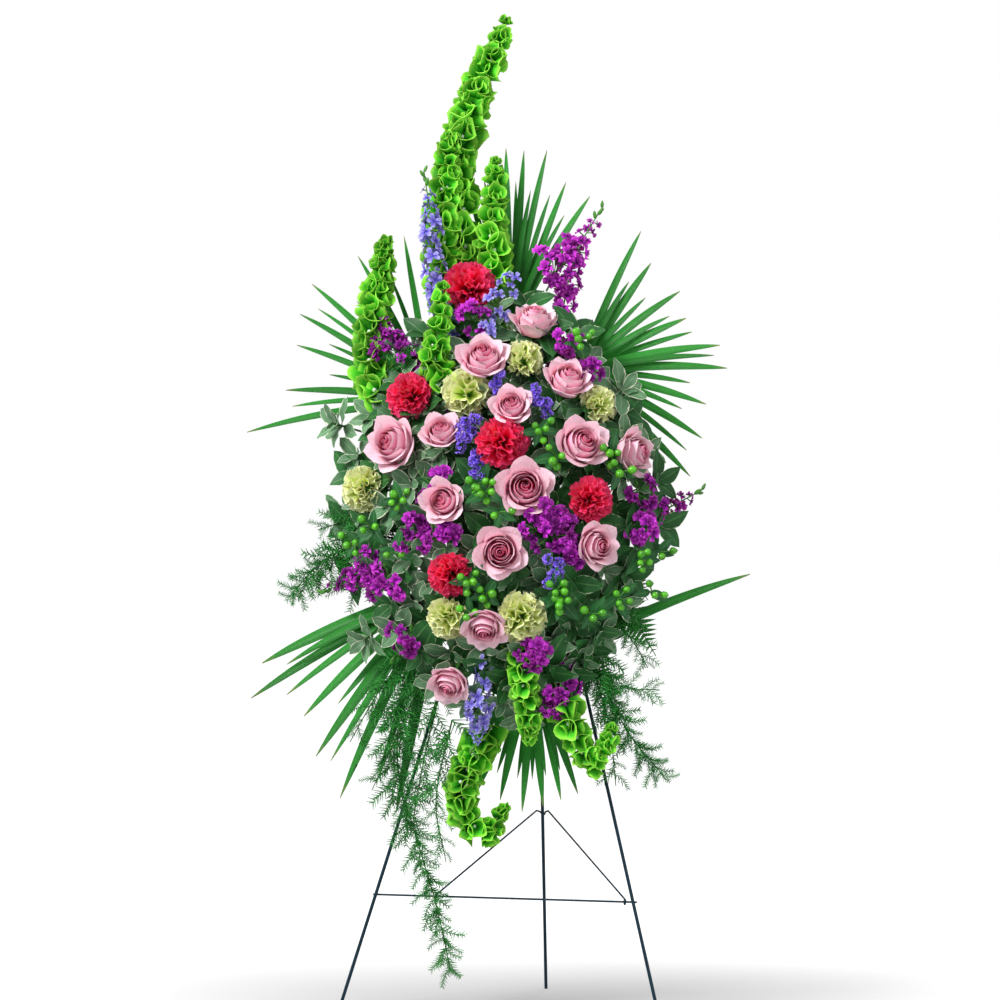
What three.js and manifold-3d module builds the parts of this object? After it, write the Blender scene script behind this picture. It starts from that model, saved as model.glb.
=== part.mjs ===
// A standing funeral spray: cut flowers and greens in a block of wet foam, held in a tray on a
// folding wire easel. Millimetres, +Z up, the front of the easel faces -Y.

import * as THREE from "three";
import { mergeVertices } from "three/addons/utils/BufferGeometryUtils.js";
import Module from "manifold-3d";

const wasm = await Module();
wasm.setup();

// Driving dimensions of the easel.
const EASEL = {
  apexHeight: 865,
  apexBack: 146.8,
  halfSpread: 237.6,
  rearFootBack: 349.2,
  rearLegOffset: 15.3,
  legRadius: 2.5,
  wireRadius: 1.5,
  pinHeight: 853,
  pinLeft: -12,
  pinRight: 25,
  pinHead: 5,
  eyeClearance: 0.5,
  crossHeight: 166.9,
  crossOverhang: 5,
  hookSpacing: 76,
  hookRise: 24,
};

// Driving dimensions of the V-shaped brace, bent from one wire.
const BRACE = {
  radius: 1.4,
  ringClearance: 0.8,
  leftEnd: -102,
  rightEnd: 179,
  apexHeight: 279.6,
  shoulder: 9,
  notch: 4.2,
  tail: 9,
};

// Driving dimensions of the holder.
const HOLDER = {
  foam: [110, 230, 80],
  centreHeight: 692,
  wall: 2.4,
  rim: 14,
  clipWidth: 12,
  clipAt: 62,
  lip: 6,
  tab: 22,
  tieHole: 2.2,
  tieRadius: 0.9,
  tieAt: [-29, 3],
};

const GAP = 0.3;
const HOLE_DEPTH = 30;
const HOLE_CLEARANCE = 0.7;
const STEM_ROOM = 12;
const STEM_BEND = 60;

// How the arrangement is looked at: from in front, a little to the right, at table height.
// Places are read in columns and rows of a square picture, 1000 to a side.
const VIEW = {
  distance: 5212.5,
  eyeHeight: 629.4,
  turn: 12.19,
  roll: 0.634,
  focal: 3594.8,
  centreColumn: 502.8,
  horizonRow: 580.7,
};

// The flowers' front is a dome over the easel's plane.
const DOME = { height: 760, rim: 62, depth: 150, halfWidth: 255, halfHeight: 420 };

const TAU = Math.PI * 2;
const radians = THREE.MathUtils.degToRad;
const vec = (x, y, z) => new THREE.Vector3(x, y, z);
const mix = (a, b, t) => a + (b - a) * t;
const between = (a, b, t) => a.clone().lerp(b, t);
const UP = vec(0, 0, 1);

// A repeatable random draw for each piece.
function seeded(seed) {
  let state = seed * 2654435761;
  return () => {
    state = (Math.imul(state ^ (state >>> 15), 2246822519) + 374761393) >>> 0;
    return ((state ^ (state >>> 13)) >>> 0) / 4294967296;
  };
}

const around = (random, spread) => (random() - 0.5) * 2 * spread;

// While skin is above 0 every solid is made that much fatter: the space that others keep out of.
let skin = 0;
const SKIN = 0.5;
const SWELL_PASSES = 6;

function fattened(make) {
  skin = SKIN;
  const made = make();
  skin = 0;
  return made;
}

// Closed solids from three.js geometry, and back.
function solid(geometry) {
  const bare = new THREE.BufferGeometry();
  bare.setAttribute("position", geometry.getAttribute("position"));
  bare.setIndex(geometry.getIndex());
  const merged = mergeVertices(bare, 1e-3);
  const positions = merged.attributes.position.array;
  const corners = new Uint32Array(merged.index.array);
  const make = () =>
    new wasm.Manifold(new wasm.Mesh({ numProp: 3, vertProperties: positions, triVerts: corners }));
  let made = make();
  if (made.volume() < 0) {
    made.delete();
    for (let i = 0; i < corners.length; i += 3) {
      [corners[i + 1], corners[i + 2]] = [corners[i + 2], corners[i + 1]];
    }
    made = make();
  }
  if (skin === 0) return made;
  made.delete();
  swell(positions, corners, skin);
  return make();
}

// Moves each corner out, past every face that meets there.
function swell(positions, corners, distance) {
  const point = (i) => vec(...positions.slice(i * 3, i * 3 + 3));
  const faces = Array.from({ length: positions.length / 3 }, () => []);
  for (let i = 0; i < corners.length; i += 3) {
    const [a, b, c] = [corners[i], corners[i + 1], corners[i + 2]];
    const face = point(b).sub(point(a)).cross(point(c).sub(point(a)));
    if (face.length() > 1e-6) [a, b, c].forEach((corner) => faces[corner].push(face.clone().normalize()));
  }
  faces.forEach((normals, i) => {
    const way = normals.reduce((sum, normal) => sum.add(normal), vec(0, 0, 0)).normalize();
    const lowest = () => normals.reduce((low, normal) => (normal.dot(way) < low.dot(way) ? normal : low));
    for (let pass = 0; pass < SWELL_PASSES; pass += 1) way.addScaledVector(lowest(), 0.3).normalize();
    const reach = distance / Math.max(0.3, lowest().dot(way));
    const moved = point(i).addScaledVector(way, reach);
    [moved.x, moved.y, moved.z].forEach((value, k) => {
      positions[i * 3 + k] = value;
    });
  });
}

function geometryOf(body) {
  const mesh = body.getMesh();
  const positions = new Float32Array(mesh.numVert * 3);
  for (let i = 0; i < mesh.numVert; i += 1) {
    positions.set(mesh.vertProperties.subarray(i * mesh.numProp, i * mesh.numProp + 3), i * 3);
  }
  const geometry = new THREE.BufferGeometry();
  geometry.setAttribute("position", new THREE.BufferAttribute(positions, 3));
  geometry.setIndex(new THREE.BufferAttribute(new Uint32Array(mesh.triVerts), 1));
  return geometry;
}

// Bodies joined in one. The join is worked out at once, and the bodies are let go.
function fuse(bodies) {
  const whole = wasm.Manifold.union(bodies);
  whole.status();
  bodies.forEach((body) => body.delete());
  return whole;
}

// The largest of the pieces that a cut leaves; scraps are dropped.
function largest(body) {
  const pieces = body.decompose();
  body.delete();
  const best = pieces.reduce((most, piece) => (piece.volume() > most.volume() ? piece : most));
  pieces.filter((piece) => piece !== best).forEach((piece) => piece.delete());
  return best;
}

// A small knob, where several stalks or leaves meet.
function knob(centre, radius) {
  return solid(new THREE.OctahedronGeometry(radius).translate(centre.x, centre.y, centre.z));
}

// A closed spindle with a pole at each end. place(t, side, face) gives the point at share t of its
// length; side runs from -1 at one edge to 1 at the other, and face is 1 in front and -1 behind.
function spindle(sides, rows, place) {
  const geometry = new THREE.SphereGeometry(1, sides, rows);
  const position = geometry.getAttribute("position");
  for (let i = 0; i < position.count; i += 1) {
    const [x, y, z] = [position.getX(i), position.getY(i), position.getZ(i)];
    const reach = Math.hypot(x, z);
    const t = Math.acos(THREE.MathUtils.clamp(y, -1, 1)) / Math.PI;
    const pole = reach < 1e-6;
    const point = place(t, pole ? 0 : x / reach, pole ? 0 : z / reach);
    position.setXYZ(i, point.x, point.y, point.z);
  }
  return solid(geometry);
}

// A closed body of rings with a pole at each end: place(level, index) gives each ring's points.
function ringed(sides, levels, place) {
  const rings = [];
  for (let level = 0; level <= levels; level += 1) {
    const count = level % levels ? sides : 1;
    rings.push(Array.from({ length: count }, (_, index) => place(level, index)));
  }
  return spindle(sides, levels, (t, x, z) => {
    const ring = rings[Math.round(t * levels)];
    return ring[Math.round((Math.atan2(z, x) / TAU + 1) * sides) % ring.length];
  });
}

// Directions square to a line of points, carried along it without twist.
function framesAlong(points, side = null) {
  const last = points.length - 1;
  const frames = [];
  let across = side ? side.clone() : vec(0.31, 0.17, 0.93);
  points.forEach((point, i) => {
    const along = points[Math.min(i + 1, last)].clone().sub(points[Math.max(i - 1, 0)]).normalize();
    across = across.clone().addScaledVector(along, -across.dot(along)).normalize();
    frames.push({ along, across, face: along.clone().cross(across) });
  });
  return frames;
}

// A round stalk or wire through the points, with a radius at each end.
function stalk(points, radius, sides = 4, endRadius = radius) {
  const last = points.length - 1;
  const frames = framesAlong(points);
  const geometry = new THREE.CylinderGeometry(1, 1, 1, sides, last);
  const position = geometry.getAttribute("position");
  for (let i = 0; i < position.count; i += 1) {
    const t = 0.5 - position.getY(i);
    const at = Math.round(t * last);
    const r = mix(radius, endRadius, t);
    const point = points[at]
      .clone()
      .addScaledVector(frames[at].across, position.getX(i) * r)
      .addScaledVector(frames[at].face, position.getZ(i) * r);
    position.setXYZ(i, point.x, point.y, point.z);
  }
  return solid(geometry);
}

// Points along a smooth curve through a few given ones.
const smooth = (points, steps) => new THREE.CatmullRomCurve3(points).getSpacedPoints(steps);

// A thin leaf on a line of points from root to tip. widths holds its width at each inner point.
function leaf(points, widths, side, thick = 1, fold = 0) {
  const last = points.length - 1;
  const frames = framesAlong(points, side);
  return spindle(4, last, (t, x, z) => {
    const at = Math.round(t * last);
    if (at === 0 || at === last) return points[at].clone();
    const half = widths[at - 1] / 2;
    return points[at]
      .clone()
      .addScaledVector(frames[at].across, x * half)
      .addScaledVector(frames[at].face, (z * thick) / 2 + Math.abs(x) * fold * half);
  });
}

// A place to stand a bloom: (radius, angle, height) round its own axis.
function standing(base, axis, roll = 0) {
  const side = Math.abs(axis.z) > 0.9 ? vec(1, 0, 0) : UP.clone().cross(axis).normalize();
  const across = side.addScaledVector(axis, -side.dot(axis)).normalize().applyAxisAngle(axis, roll);
  const face = axis.clone().cross(across);
  return (radius, angle, height) =>
    base
      .clone()
      .addScaledVector(across, radius * Math.cos(angle))
      .addScaledVector(face, radius * Math.sin(angle))
      .addScaledVector(axis, height);
}

// Where the picture's column and row meet the upright plane that far back.
function seen(column, row, back) {
  const [turn, roll] = [radians(VIEW.turn), radians(VIEW.roll)];
  const [across, down] = [column - VIEW.centreColumn, row - VIEW.horizonRow];
  const right = (Math.cos(roll) * across + Math.sin(roll) * down) / VIEW.focal;
  const drop = (Math.cos(roll) * down - Math.sin(roll) * across) / VIEW.focal;
  const eye = vec(VIEW.distance * Math.sin(turn), -VIEW.distance * Math.cos(turn), VIEW.eyeHeight);
  const ray = vec(
    right * Math.cos(turn) - Math.sin(turn),
    right * Math.sin(turn) + Math.cos(turn),
    -drop
  );
  return eye.addScaledVector(ray, (back - eye.y) / ray.y);
}

const easelBack = (height) => (EASEL.apexBack * height) / EASEL.apexHeight;

// Where the picture's column and row meet the dome, moved forward by proud.
function onDome(column, row, proud = 0) {
  let point = seen(column, row, 0);
  for (let pass = 0; pass < 6; pass += 1) {
    const wide = point.x / DOME.halfWidth;
    const high = (point.z - DOME.height) / DOME.halfHeight;
    const swell = Math.sqrt(Math.max(0, 1 - wide * wide - high * high));
    const forward = DOME.rim + DOME.depth * swell + proud;
    point = seen(column, row, easelBack(point.z) - forward);
  }
  return point;
}

// The easel's plane: across, up along the legs and forward from them.
const lean = Math.atan2(EASEL.apexBack, EASEL.apexHeight);
const legUp = vec(0, Math.sin(lean), Math.cos(lean));
const legFront = vec(0, -Math.cos(lean), Math.sin(lean));
const onEasel = (across, along, forward) =>
  vec(across, 0, 0).addScaledVector(legUp, along).addScaledVector(legFront, forward);

// Easel.

const slope = EASEL.halfSpread / EASEL.apexHeight;
const legX = (height) => EASEL.halfSpread - slope * height;
const pinBack = easelBack(EASEL.pinHeight);
const floorLength = (EASEL.legRadius * 2) / Math.cos(lean);

// A leg cut flat on the floor: it is made too long below and its foot is taken off.
function footed(points, radius) {
  const [top, foot] = [points[0], points[points.length - 1]];
  const along = foot.clone().sub(top).normalize();
  const below = foot.clone().addScaledVector(along, floorLength);
  const whole = stalk([...points.slice(0, -1), below], radius, 8);
  const floor = new THREE.BoxGeometry(80, 80, 40).translate(foot.x, foot.y, -20);
  return whole.subtract(solid(floor));
}

function frontLeg(sign) {
  const foot = vec(sign * EASEL.halfSpread, 0, 0);
  const topHeight = EASEL.pinHeight - EASEL.legRadius * 2 - GAP;
  const top = vec(sign * Math.max(legX(topHeight), EASEL.legRadius + GAP), easelBack(topHeight), topHeight);
  return footed([top, foot], EASEL.legRadius);
}

function hingePin() {
  const point = (x) => vec(x, pinBack, EASEL.pinHeight);
  const head = EASEL.pinHead;
  return fuse([
    stalk([point(EASEL.pinLeft), point(EASEL.pinRight)], EASEL.legRadius, 8),
    stalk([point(EASEL.pinRight - 2), point(EASEL.pinRight)], head, 8),
  ]);
}

// Points of a ring in the plane square to X.
function ring(centre, ringRadius, from, to, steps) {
  const points = [];
  for (let i = 0; i <= steps; i += 1) {
    const angle = radians(mix(from, to, i / steps));
    const out = vec(0, Math.cos(angle), Math.sin(angle));
    points.push(centre.clone().addScaledVector(out, ringRadius));
  }
  return points;
}

const rearTop = vec(EASEL.rearLegOffset, pinBack, EASEL.pinHeight);
const rearFoot = vec(0, EASEL.rearFootBack, 0);
const rearAlong = rearFoot.clone().sub(rearTop).normalize();

// The rear leg's top is bent into an eye round the hinge pin.
function rearLeg() {
  const eyeRadius = EASEL.legRadius * 2 + EASEL.eyeClearance;
  const eye = new THREE.TorusGeometry(eyeRadius, EASEL.legRadius, 6, 14).rotateY(Math.PI / 2);
  eye.translate(rearTop.x, rearTop.y, rearTop.z);
  const top = rearTop.clone().addScaledVector(rearAlong, eyeRadius);
  return fuse([footed([top, rearFoot], EASEL.legRadius), solid(eye)]);
}

const crossForward = -(EASEL.legRadius + EASEL.wireRadius + GAP);
const crossAlong = EASEL.crossHeight / Math.cos(lean);
const crossPoint = (x) => onEasel(x, crossAlong, crossForward);

function crossWire() {
  const reach = legX(EASEL.crossHeight) + EASEL.crossOverhang;
  return stalk([crossPoint(-reach), crossPoint(reach)], EASEL.wireRadius, 6);
}

// The brace hooks on the cross wire at both ends and runs behind the rear leg, which stands in its
// notch and can leave it towards the front as the easel folds.
const braceRing = EASEL.wireRadius + BRACE.ringClearance + BRACE.radius;
const restOnLeg = rearTop
  .clone()
  .addScaledVector(rearAlong, (EASEL.pinHeight - BRACE.apexHeight) / -rearAlong.z);

function brace() {
  const pivot = crossPoint(0);
  const reachAlong = restOnLeg.clone().sub(pivot).setX(0).normalize();
  const down = vec(0, reachAlong.z, -reachAlong.y);
  const clearOfLeg = EASEL.legRadius + BRACE.radius + GAP;
  const mid = restOnLeg.x;
  const arm = (x) => {
    const startAngle = THREE.MathUtils.radToDeg(Math.atan2(reachAlong.z, reachAlong.y));
    const hook = ring(crossPoint(x), braceRing, startAngle - 30, startAngle - 300, 8);
    const start = crossPoint(x).addScaledVector(reachAlong, braceRing + 2);
    return [...hook.reverse(), start];
  };
  const at = (x, along, low) =>
    restOnLeg.clone().setX(x).addScaledVector(reachAlong, along).addScaledVector(down, low);
  const points = [
    ...arm(BRACE.leftEnd),
    at(mid - BRACE.shoulder, -1, 0),
    at(mid - BRACE.notch, 1, 3),
    at(mid - 1.6, clearOfLeg, BRACE.tail),
    at(mid + 1.6, clearOfLeg, BRACE.tail),
    at(mid + BRACE.notch, 1, 3),
    at(mid + BRACE.shoulder, -1, 0),
    ...arm(BRACE.rightEnd).reverse(),
  ];
  return stalk(points, BRACE.radius, 5);
}

// Holder.

const foamAlong = HOLDER.centreHeight / Math.cos(lean);
const foamBack = EASEL.legRadius + GAP + HOLDER.wall + GAP;
const [foamWide, foamTall, foamDeep] = HOLDER.foam;
const foamFront = foamBack + foamDeep;
const foamTop = foamAlong + foamTall / 2;
const foamFoot = foamAlong - foamTall / 2;

// A block between two corners given across, along the legs and forward of them.
function block(low, high) {
  const size = low.map((value, i) => high[i] - value);
  const middle = low.map((value, i) => (value + high[i]) / 2);
  const geometry = new THREE.BoxGeometry(size[0], size[2], size[1]);
  geometry.rotateX(-lean);
  const centre = onEasel(...middle);
  geometry.translate(centre.x, centre.y, centre.z);
  return solid(geometry);
}

// The upper cross wire is welded across the legs' front, under the tray. Two hooks reach forward
// from it, under the tray and up the foam's front.
function hanger() {
  const along = foamFoot - HOLDER.wall - EASEL.wireRadius - GAP * 2;
  const reach = legX(along * Math.cos(lean)) + EASEL.crossOverhang;
  const forward = EASEL.legRadius + EASEL.wireRadius + GAP;
  const hookReach = foamFront + EASEL.wireRadius + GAP;
  const bar = stalk([onEasel(-reach, along, forward), onEasel(reach, along, forward)], EASEL.wireRadius, 6);
  const hooks = [-1, 1].map((sign) => {
    const x = (sign * EASEL.hookSpacing) / 2;
    const points = [
      onEasel(x, along, forward - 0.4),
      onEasel(x, along, hookReach - 3),
      onEasel(x, along + 3, hookReach),
      onEasel(x, along + EASEL.hookRise, hookReach),
    ];
    return stalk(points, EASEL.wireRadius, 6);
  });
  return fuse([bar, ...hooks]);
}

function tray() {
  const half = foamWide / 2 + GAP;
  const outer = half + HOLDER.wall;
  const [low, high] = [foamFoot - GAP, foamTop + GAP];
  const back = EASEL.legRadius + GAP;
  const shell = block(
    [-outer, low - HOLDER.wall, back],
    [outer, high + HOLDER.wall, back + HOLDER.wall + HOLDER.rim]
  ).subtract(block([-half, low, back + HOLDER.wall], [half, high, back + HOLDER.rim * 2]));
  const clips = [];
  [-1, 1].forEach((side) => {
    [-1, 1].forEach((level) => {
      const at = foamAlong + level * HOLDER.clipAt;
      const [bottom, top] = [at - HOLDER.clipWidth / 2, at + HOLDER.clipWidth / 2];
      const edges = [side * half, side * outer].sort((a, b) => a - b);
      const lipEdges = [side * (half - HOLDER.lip), side * outer].sort((a, b) => a - b);
      const front = foamFront + GAP;
      clips.push(block([edges[0], bottom, back + HOLDER.rim], [edges[1], top, front + HOLDER.wall]));
      clips.push(block([lipEdges[0], bottom, front], [lipEdges[1], top, front + HOLDER.wall]));
    });
  });
  const tab = block(
    [-half, high, back],
    [half, high + HOLDER.wall + HOLDER.tab, back + HOLDER.wall]
  );
  const tieHoles = HOLDER.tieAt.map((across) => {
    const at = onEasel(across, tieAlong, 0);
    const from = at.clone().addScaledVector(legFront, -5);
    const to = at.clone().addScaledVector(legFront, 12);
    return stalk([from, to], HOLDER.tieHole, 6);
  });
  return tieHoles.reduce((body, hole) => body.subtract(hole), fuse([shell, ...clips, tab]));
}

const tieAlong = foamTop + HOLDER.wall + HOLDER.tab * 0.6;

// The tie wire runs behind the left leg and through the tray's two holes.
function tieWire() {
  const radius = HOLDER.tieRadius;
  const behind = -(EASEL.legRadius + radius + GAP);
  const front = EASEL.legRadius + GAP + HOLDER.wall + radius + GAP;
  const [left, right] = HOLDER.tieAt;
  const corners = [
    [left, front],
    [left + 4, front],
    [right - 4, front],
    [right, front],
    [right, behind + 3],
    [right - 5, behind],
    [left + 5, behind],
    [left, behind + 3],
  ];
  const points = corners.map(([x, forward]) => onEasel(x, tieAlong, forward));
  const closing = between(points[points.length - 1], points[0], 0.5);
  return fuse([stalk([...points, closing], radius, 5), stalk([closing, points[0], points[1]], radius, 5)]);
}

// Stems stand in plain holes in the foam. A socket is a place on one of its faces, given across
// and along the front, or by how far forward it is on the other faces, and stays off the edges.
const holes = [];
const EDGE = 9;

function socket(across, along, face = "front", forward = 30) {
  const half = foamWide / 2;
  const { clamp } = THREE.MathUtils;
  const x = clamp(across, EDGE - half, half - EDGE);
  const y = foamAlong + clamp(along, EDGE - foamTall / 2, foamTall / 2 - EDGE);
  const z = foamBack + clamp(forward, EDGE, foamDeep - EDGE);
  const places = {
    front: [onEasel(x, y, foamFront), legFront],
    left: [onEasel(-half, y, z), vec(-1, 0, 0)],
    right: [onEasel(half, y, z), vec(1, 0, 0)],
    top: [onEasel(x, foamTop, z), legUp],
    bottom: [onEasel(x, foamFoot, z), legUp.clone().negate()],
  };
  const [mouth, out] = places[face];
  return { across, along, face, forward, mouth, out, bow: 0 };
}

// The same socket moved over its face.
function aside({ across, along, face, forward }, [first, second, bow]) {
  const moved = {
    front: () => socket(across + first, along + second, face),
    top: () => socket(across + first, 0, face, forward + second),
    bottom: () => socket(across + first, 0, face, forward + second),
    left: () => socket(0, along + first, face, forward + second),
    right: () => socket(0, along + first, face, forward + second),
  };
  return { ...moved[face](), bow };
}

// The stem inside the foam and just out of it, and its hole.
function rooted({ mouth, out }, radius, sides = 4) {
  const inner = mouth.clone().addScaledVector(out, -HOLE_DEPTH);
  const outer = mouth.clone().addScaledVector(out, 5);
  const deeper = mouth.clone().addScaledVector(out, -HOLE_DEPTH - HOLE_CLEARANCE);
  holes.push([[deeper, outer], radius + HOLE_CLEARANCE * 1.4, sides]);
  return [inner, outer];
}

// Blooms.

// The way a bloom faces: towards the viewer, turned to the right and lifted, in degrees.
function facing(turn, lift) {
  const [heading, rise] = [radians(VIEW.turn + turn), radians(lift)];
  return vec(
    Math.sin(heading) * Math.cos(rise),
    -Math.cos(heading) * Math.cos(rise),
    Math.sin(rise)
  );
}

// Where a bloom's stem enters the foam's front: the same spread as the blooms, drawn together.
const SPREAD = { across: 0.24, along: 0.3, height: 765, limitAcross: 46, limitAlong: 104 };

function socketBehind(point) {
  const { clamp } = THREE.MathUtils;
  const across = clamp(point.x * SPREAD.across, -SPREAD.limitAcross, SPREAD.limitAcross);
  const along = (point.z - SPREAD.height) * SPREAD.along;
  return socket(across, clamp(along, -SPREAD.limitAlong, SPREAD.limitAlong));
}

// A bend in a stem, brought forward where it would meet the foam.
function inFront(bend) {
  const short = foamFront + STEM_ROOM - bend.dot(legFront);
  return short > 0 && bend.dot(legUp) < foamTop + STEM_ROOM ? bend.addScaledVector(legFront, short) : bend;
}

// A stem from its socket in the foam to a bloom's base, arriving along the bloom's axis.
function stemTo(base, axis, radius, place) {
  const [inner, outer] = rooted(place, radius);
  const reach = base.distanceTo(outer);
  const behind = base.clone().addScaledVector(axis, -Math.min(0.45 * reach, STEM_BEND));
  const bend = inFront(between(outer, behind, 0.75)).addScaledVector(legFront, place.bow);
  const sunk = base.clone().addScaledVector(axis, 4);
  return stalk([inner, outer, bend, sunk], radius, 4);
}

const ROSE = { stem: 2.6, height: 1.45, sides: 12, step: 0.16, scallop: 0.16 };

// The rose's petals, layer by layer from outside: petals in the layer, its turn in twelfths, then
// the rim's radius and height and those of the valley behind it, as shares of the rose's own.
const ROSE_LAYERS = [
  { petals: 4, turn: 0, rim: [1.02, 0.62], valley: [0.76, 0.4] },
  { petals: 4, turn: 1, rim: [0.74, 0.86], valley: [0.5, 0.6] },
  { petals: 3, turn: 2, rim: [0.42, 1], valley: [0.2, 0.74] },
];

function rose({ column, row, proud = 0, size, turn, lift }, seed, nudge) {
  const random = seeded(seed);
  const radius = size / 2;
  const tall = radius * ROSE.height;
  const axis = facing(turn, lift);
  const crown = onDome(column, row, proud);
  const base = crown.clone().addScaledVector(axis, -tall * 0.75);
  const at = standing(base, axis, random() * TAU);
  const wobble = Array.from({ length: ROSE.sides }, () => 1 + around(random, 0.05));
  const bloom = ringed(ROSE.sides, 2 + ROSE_LAYERS.length * 2, (level, index) => {
    const even = (TAU * index) / ROSE.sides;
    if (level === 0) return at(0, 0, -tall * 0.1);
    if (level === 1) return at(radius * 0.88, even, tall * 0.24);
    const layer = ROSE_LAYERS[Math.floor((level - 2) / 2)];
    if (!layer) return at(0, 0, tall * 1.02);
    if (level % 2 === 1) return at(radius * layer.valley[0], even, tall * layer.valley[1]);
    const each = ROSE.sides / layer.petals;
    const place = index + layer.turn;
    const share = (place % each) / (each - 1);
    const heading = (TAU * (Math.floor(place / each) + share * 0.94)) / layer.petals;
    const out = layer.rim[0] * (1 + ROSE.step * (share - 0.5)) * wobble[index];
    const drop = ROSE.scallop * (2 * share - 1) ** 2;
    return at(
      radius * out,
      heading - (TAU * layer.turn) / ROSE.sides,
      tall * (layer.rim[1] - drop * layer.rim[0])
    );
  });
  const place = aside(socketBehind(crown), nudge);
  return { stems: [stemTo(base, axis, ROSE.stem, place)], heads: [bloom] };
}

const CARNATION = { stem: 2.2, sides: 12, tooth: 0.09, frill: 0.12 };

// The carnation's frills from outside: the rim's radius and height, then the valley's behind it.
const CARNATION_TIERS = [
  { rim: [1, 0.02], valley: [0.68, 0.2] },
  { rim: [0.8, 0.4], valley: [0.44, 0.4] },
  { rim: [0.46, 0.66], valley: [0.12, 0.46] },
];

function carnationHead(at, size, random) {
  const radius = size / 2;
  const levels = 2 + CARNATION_TIERS.length * 2;
  return ringed(CARNATION.sides, levels, (level, index) => {
    const heading = (TAU * index) / CARNATION.sides;
    if (level === 0) return at(0, 0, -radius * 1.2);
    if (level === 1) return at(radius * 0.24, heading, -radius * 0.3);
    const tier = CARNATION_TIERS[Math.floor((level - 2) / 2)];
    if (!tier) return at(0, 0, radius * 0.72);
    if (level % 2 === 1) return at(radius * tier.valley[0], heading, radius * tier.valley[1]);
    const beat = index % 2 ? 1 : -1;
    const out = tier.rim[0] * (1 + beat * CARNATION.tooth + around(random, 0.04));
    const up = tier.rim[1] + beat * CARNATION.frill + around(random, 0.05);
    return at(radius * out, heading + around(random, 0.08), radius * up);
  });
}

function carnation({ column, row, proud = 0, size, turn, lift }, seed, nudge) {
  const random = seeded(seed);
  const axis = facing(turn, lift);
  const crown = onDome(column, row, proud);
  const centre = crown.clone().addScaledVector(axis, -size * 0.3);
  const head = carnationHead(standing(centre, axis, random() * TAU), size, random);
  const base = centre.clone().addScaledVector(axis, -size * 0.5);
  const place = aside(socketBehind(crown), nudge);
  return { stems: [stemTo(base, axis, CARNATION.stem, place)], heads: [head] };
}

// Several heads on one forked stem.
function forked(place, radius, reach, members) {
  const [inner, outer] = rooted(place, radius);
  const fork = outer.clone().addScaledVector(place.out, reach);
  const trunk = stalk([inner, outer, fork.clone().addScaledVector(place.out, 1.5)], radius, 4);
  const made = members.map((member) => member(fork));
  return {
    stems: [trunk, ...made.flatMap(({ stems }) => stems)],
    heads: made.flatMap(({ heads }) => heads),
  };
}

// A branch from a fork to a head's base, arriving along its axis.
function branch(fork, base, axis, radius) {
  const reach = base.distanceTo(fork);
  const behind = base.clone().addScaledVector(axis, -Math.min(0.45 * reach, STEM_BEND));
  const bend = inFront(between(fork, behind, 0.7));
  return stalk([fork, bend, base.clone().addScaledVector(axis, 4)], radius, 4);
}

function carnationPair(place, heads, seed) {
  const random = seeded(seed);
  return forked(
    place,
    CARNATION.stem,
    6,
    heads.map(({ column, row, proud = 0, size, turn, lift }) => (fork) => {
      const axis = facing(turn, lift);
      const centre = onDome(column, row, proud).addScaledVector(axis, -size * 0.3);
      const head = carnationHead(standing(centre, axis, random() * TAU), size, random);
      const base = centre.clone().addScaledVector(axis, -size * 0.5);
      return { stems: [branch(fork, base, axis, CARNATION.stem)], heads: [head] };
    })
  );
}

const GOLDEN = radians(137.5);

// Goes down a run of points from its tip, calling set(point, outward, along, share) at each place.
function alongRun(run, count, from, to, set) {
  const frames = framesAlong(run);
  const last = run.length - 1;
  const bodies = [];
  for (let k = 0; k < count; k += 1) {
    const share = mix(from, to, count > 1 ? k / (count - 1) : 0) * last;
    const at = Math.min(last - 1, Math.floor(share));
    const { along, across, face } = frames[at];
    const turn = k * GOLDEN;
    const outward = across.clone().multiplyScalar(Math.cos(turn)).addScaledVector(face, Math.sin(turn));
    bodies.push(set(between(run[at], run[at + 1], share - at), outward, along, k / count));
  }
  return bodies;
}

// Kinds of spike: the stem, each whorl's reach out from it and up from its foot, how far the
// hollows between its lobes draw in, and how small the whorls are at the tip.
const BELL = { stem: 2.4, sides: 8, reach: 23, rise: 13, hollow: 0.5, dip: 5, tip: 0.4, ruffle: 0 };
const STOCK = { stem: 2, sides: 8, reach: 21, rise: 8, hollow: 0.6, dip: 3, tip: 0.3, ruffle: 3 };
const LARKSPUR = { stem: 1.6, sides: 8, reach: 16, rise: 6, hollow: 0.4, dip: 2, tip: 0.25, ruffle: 3 };

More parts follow.
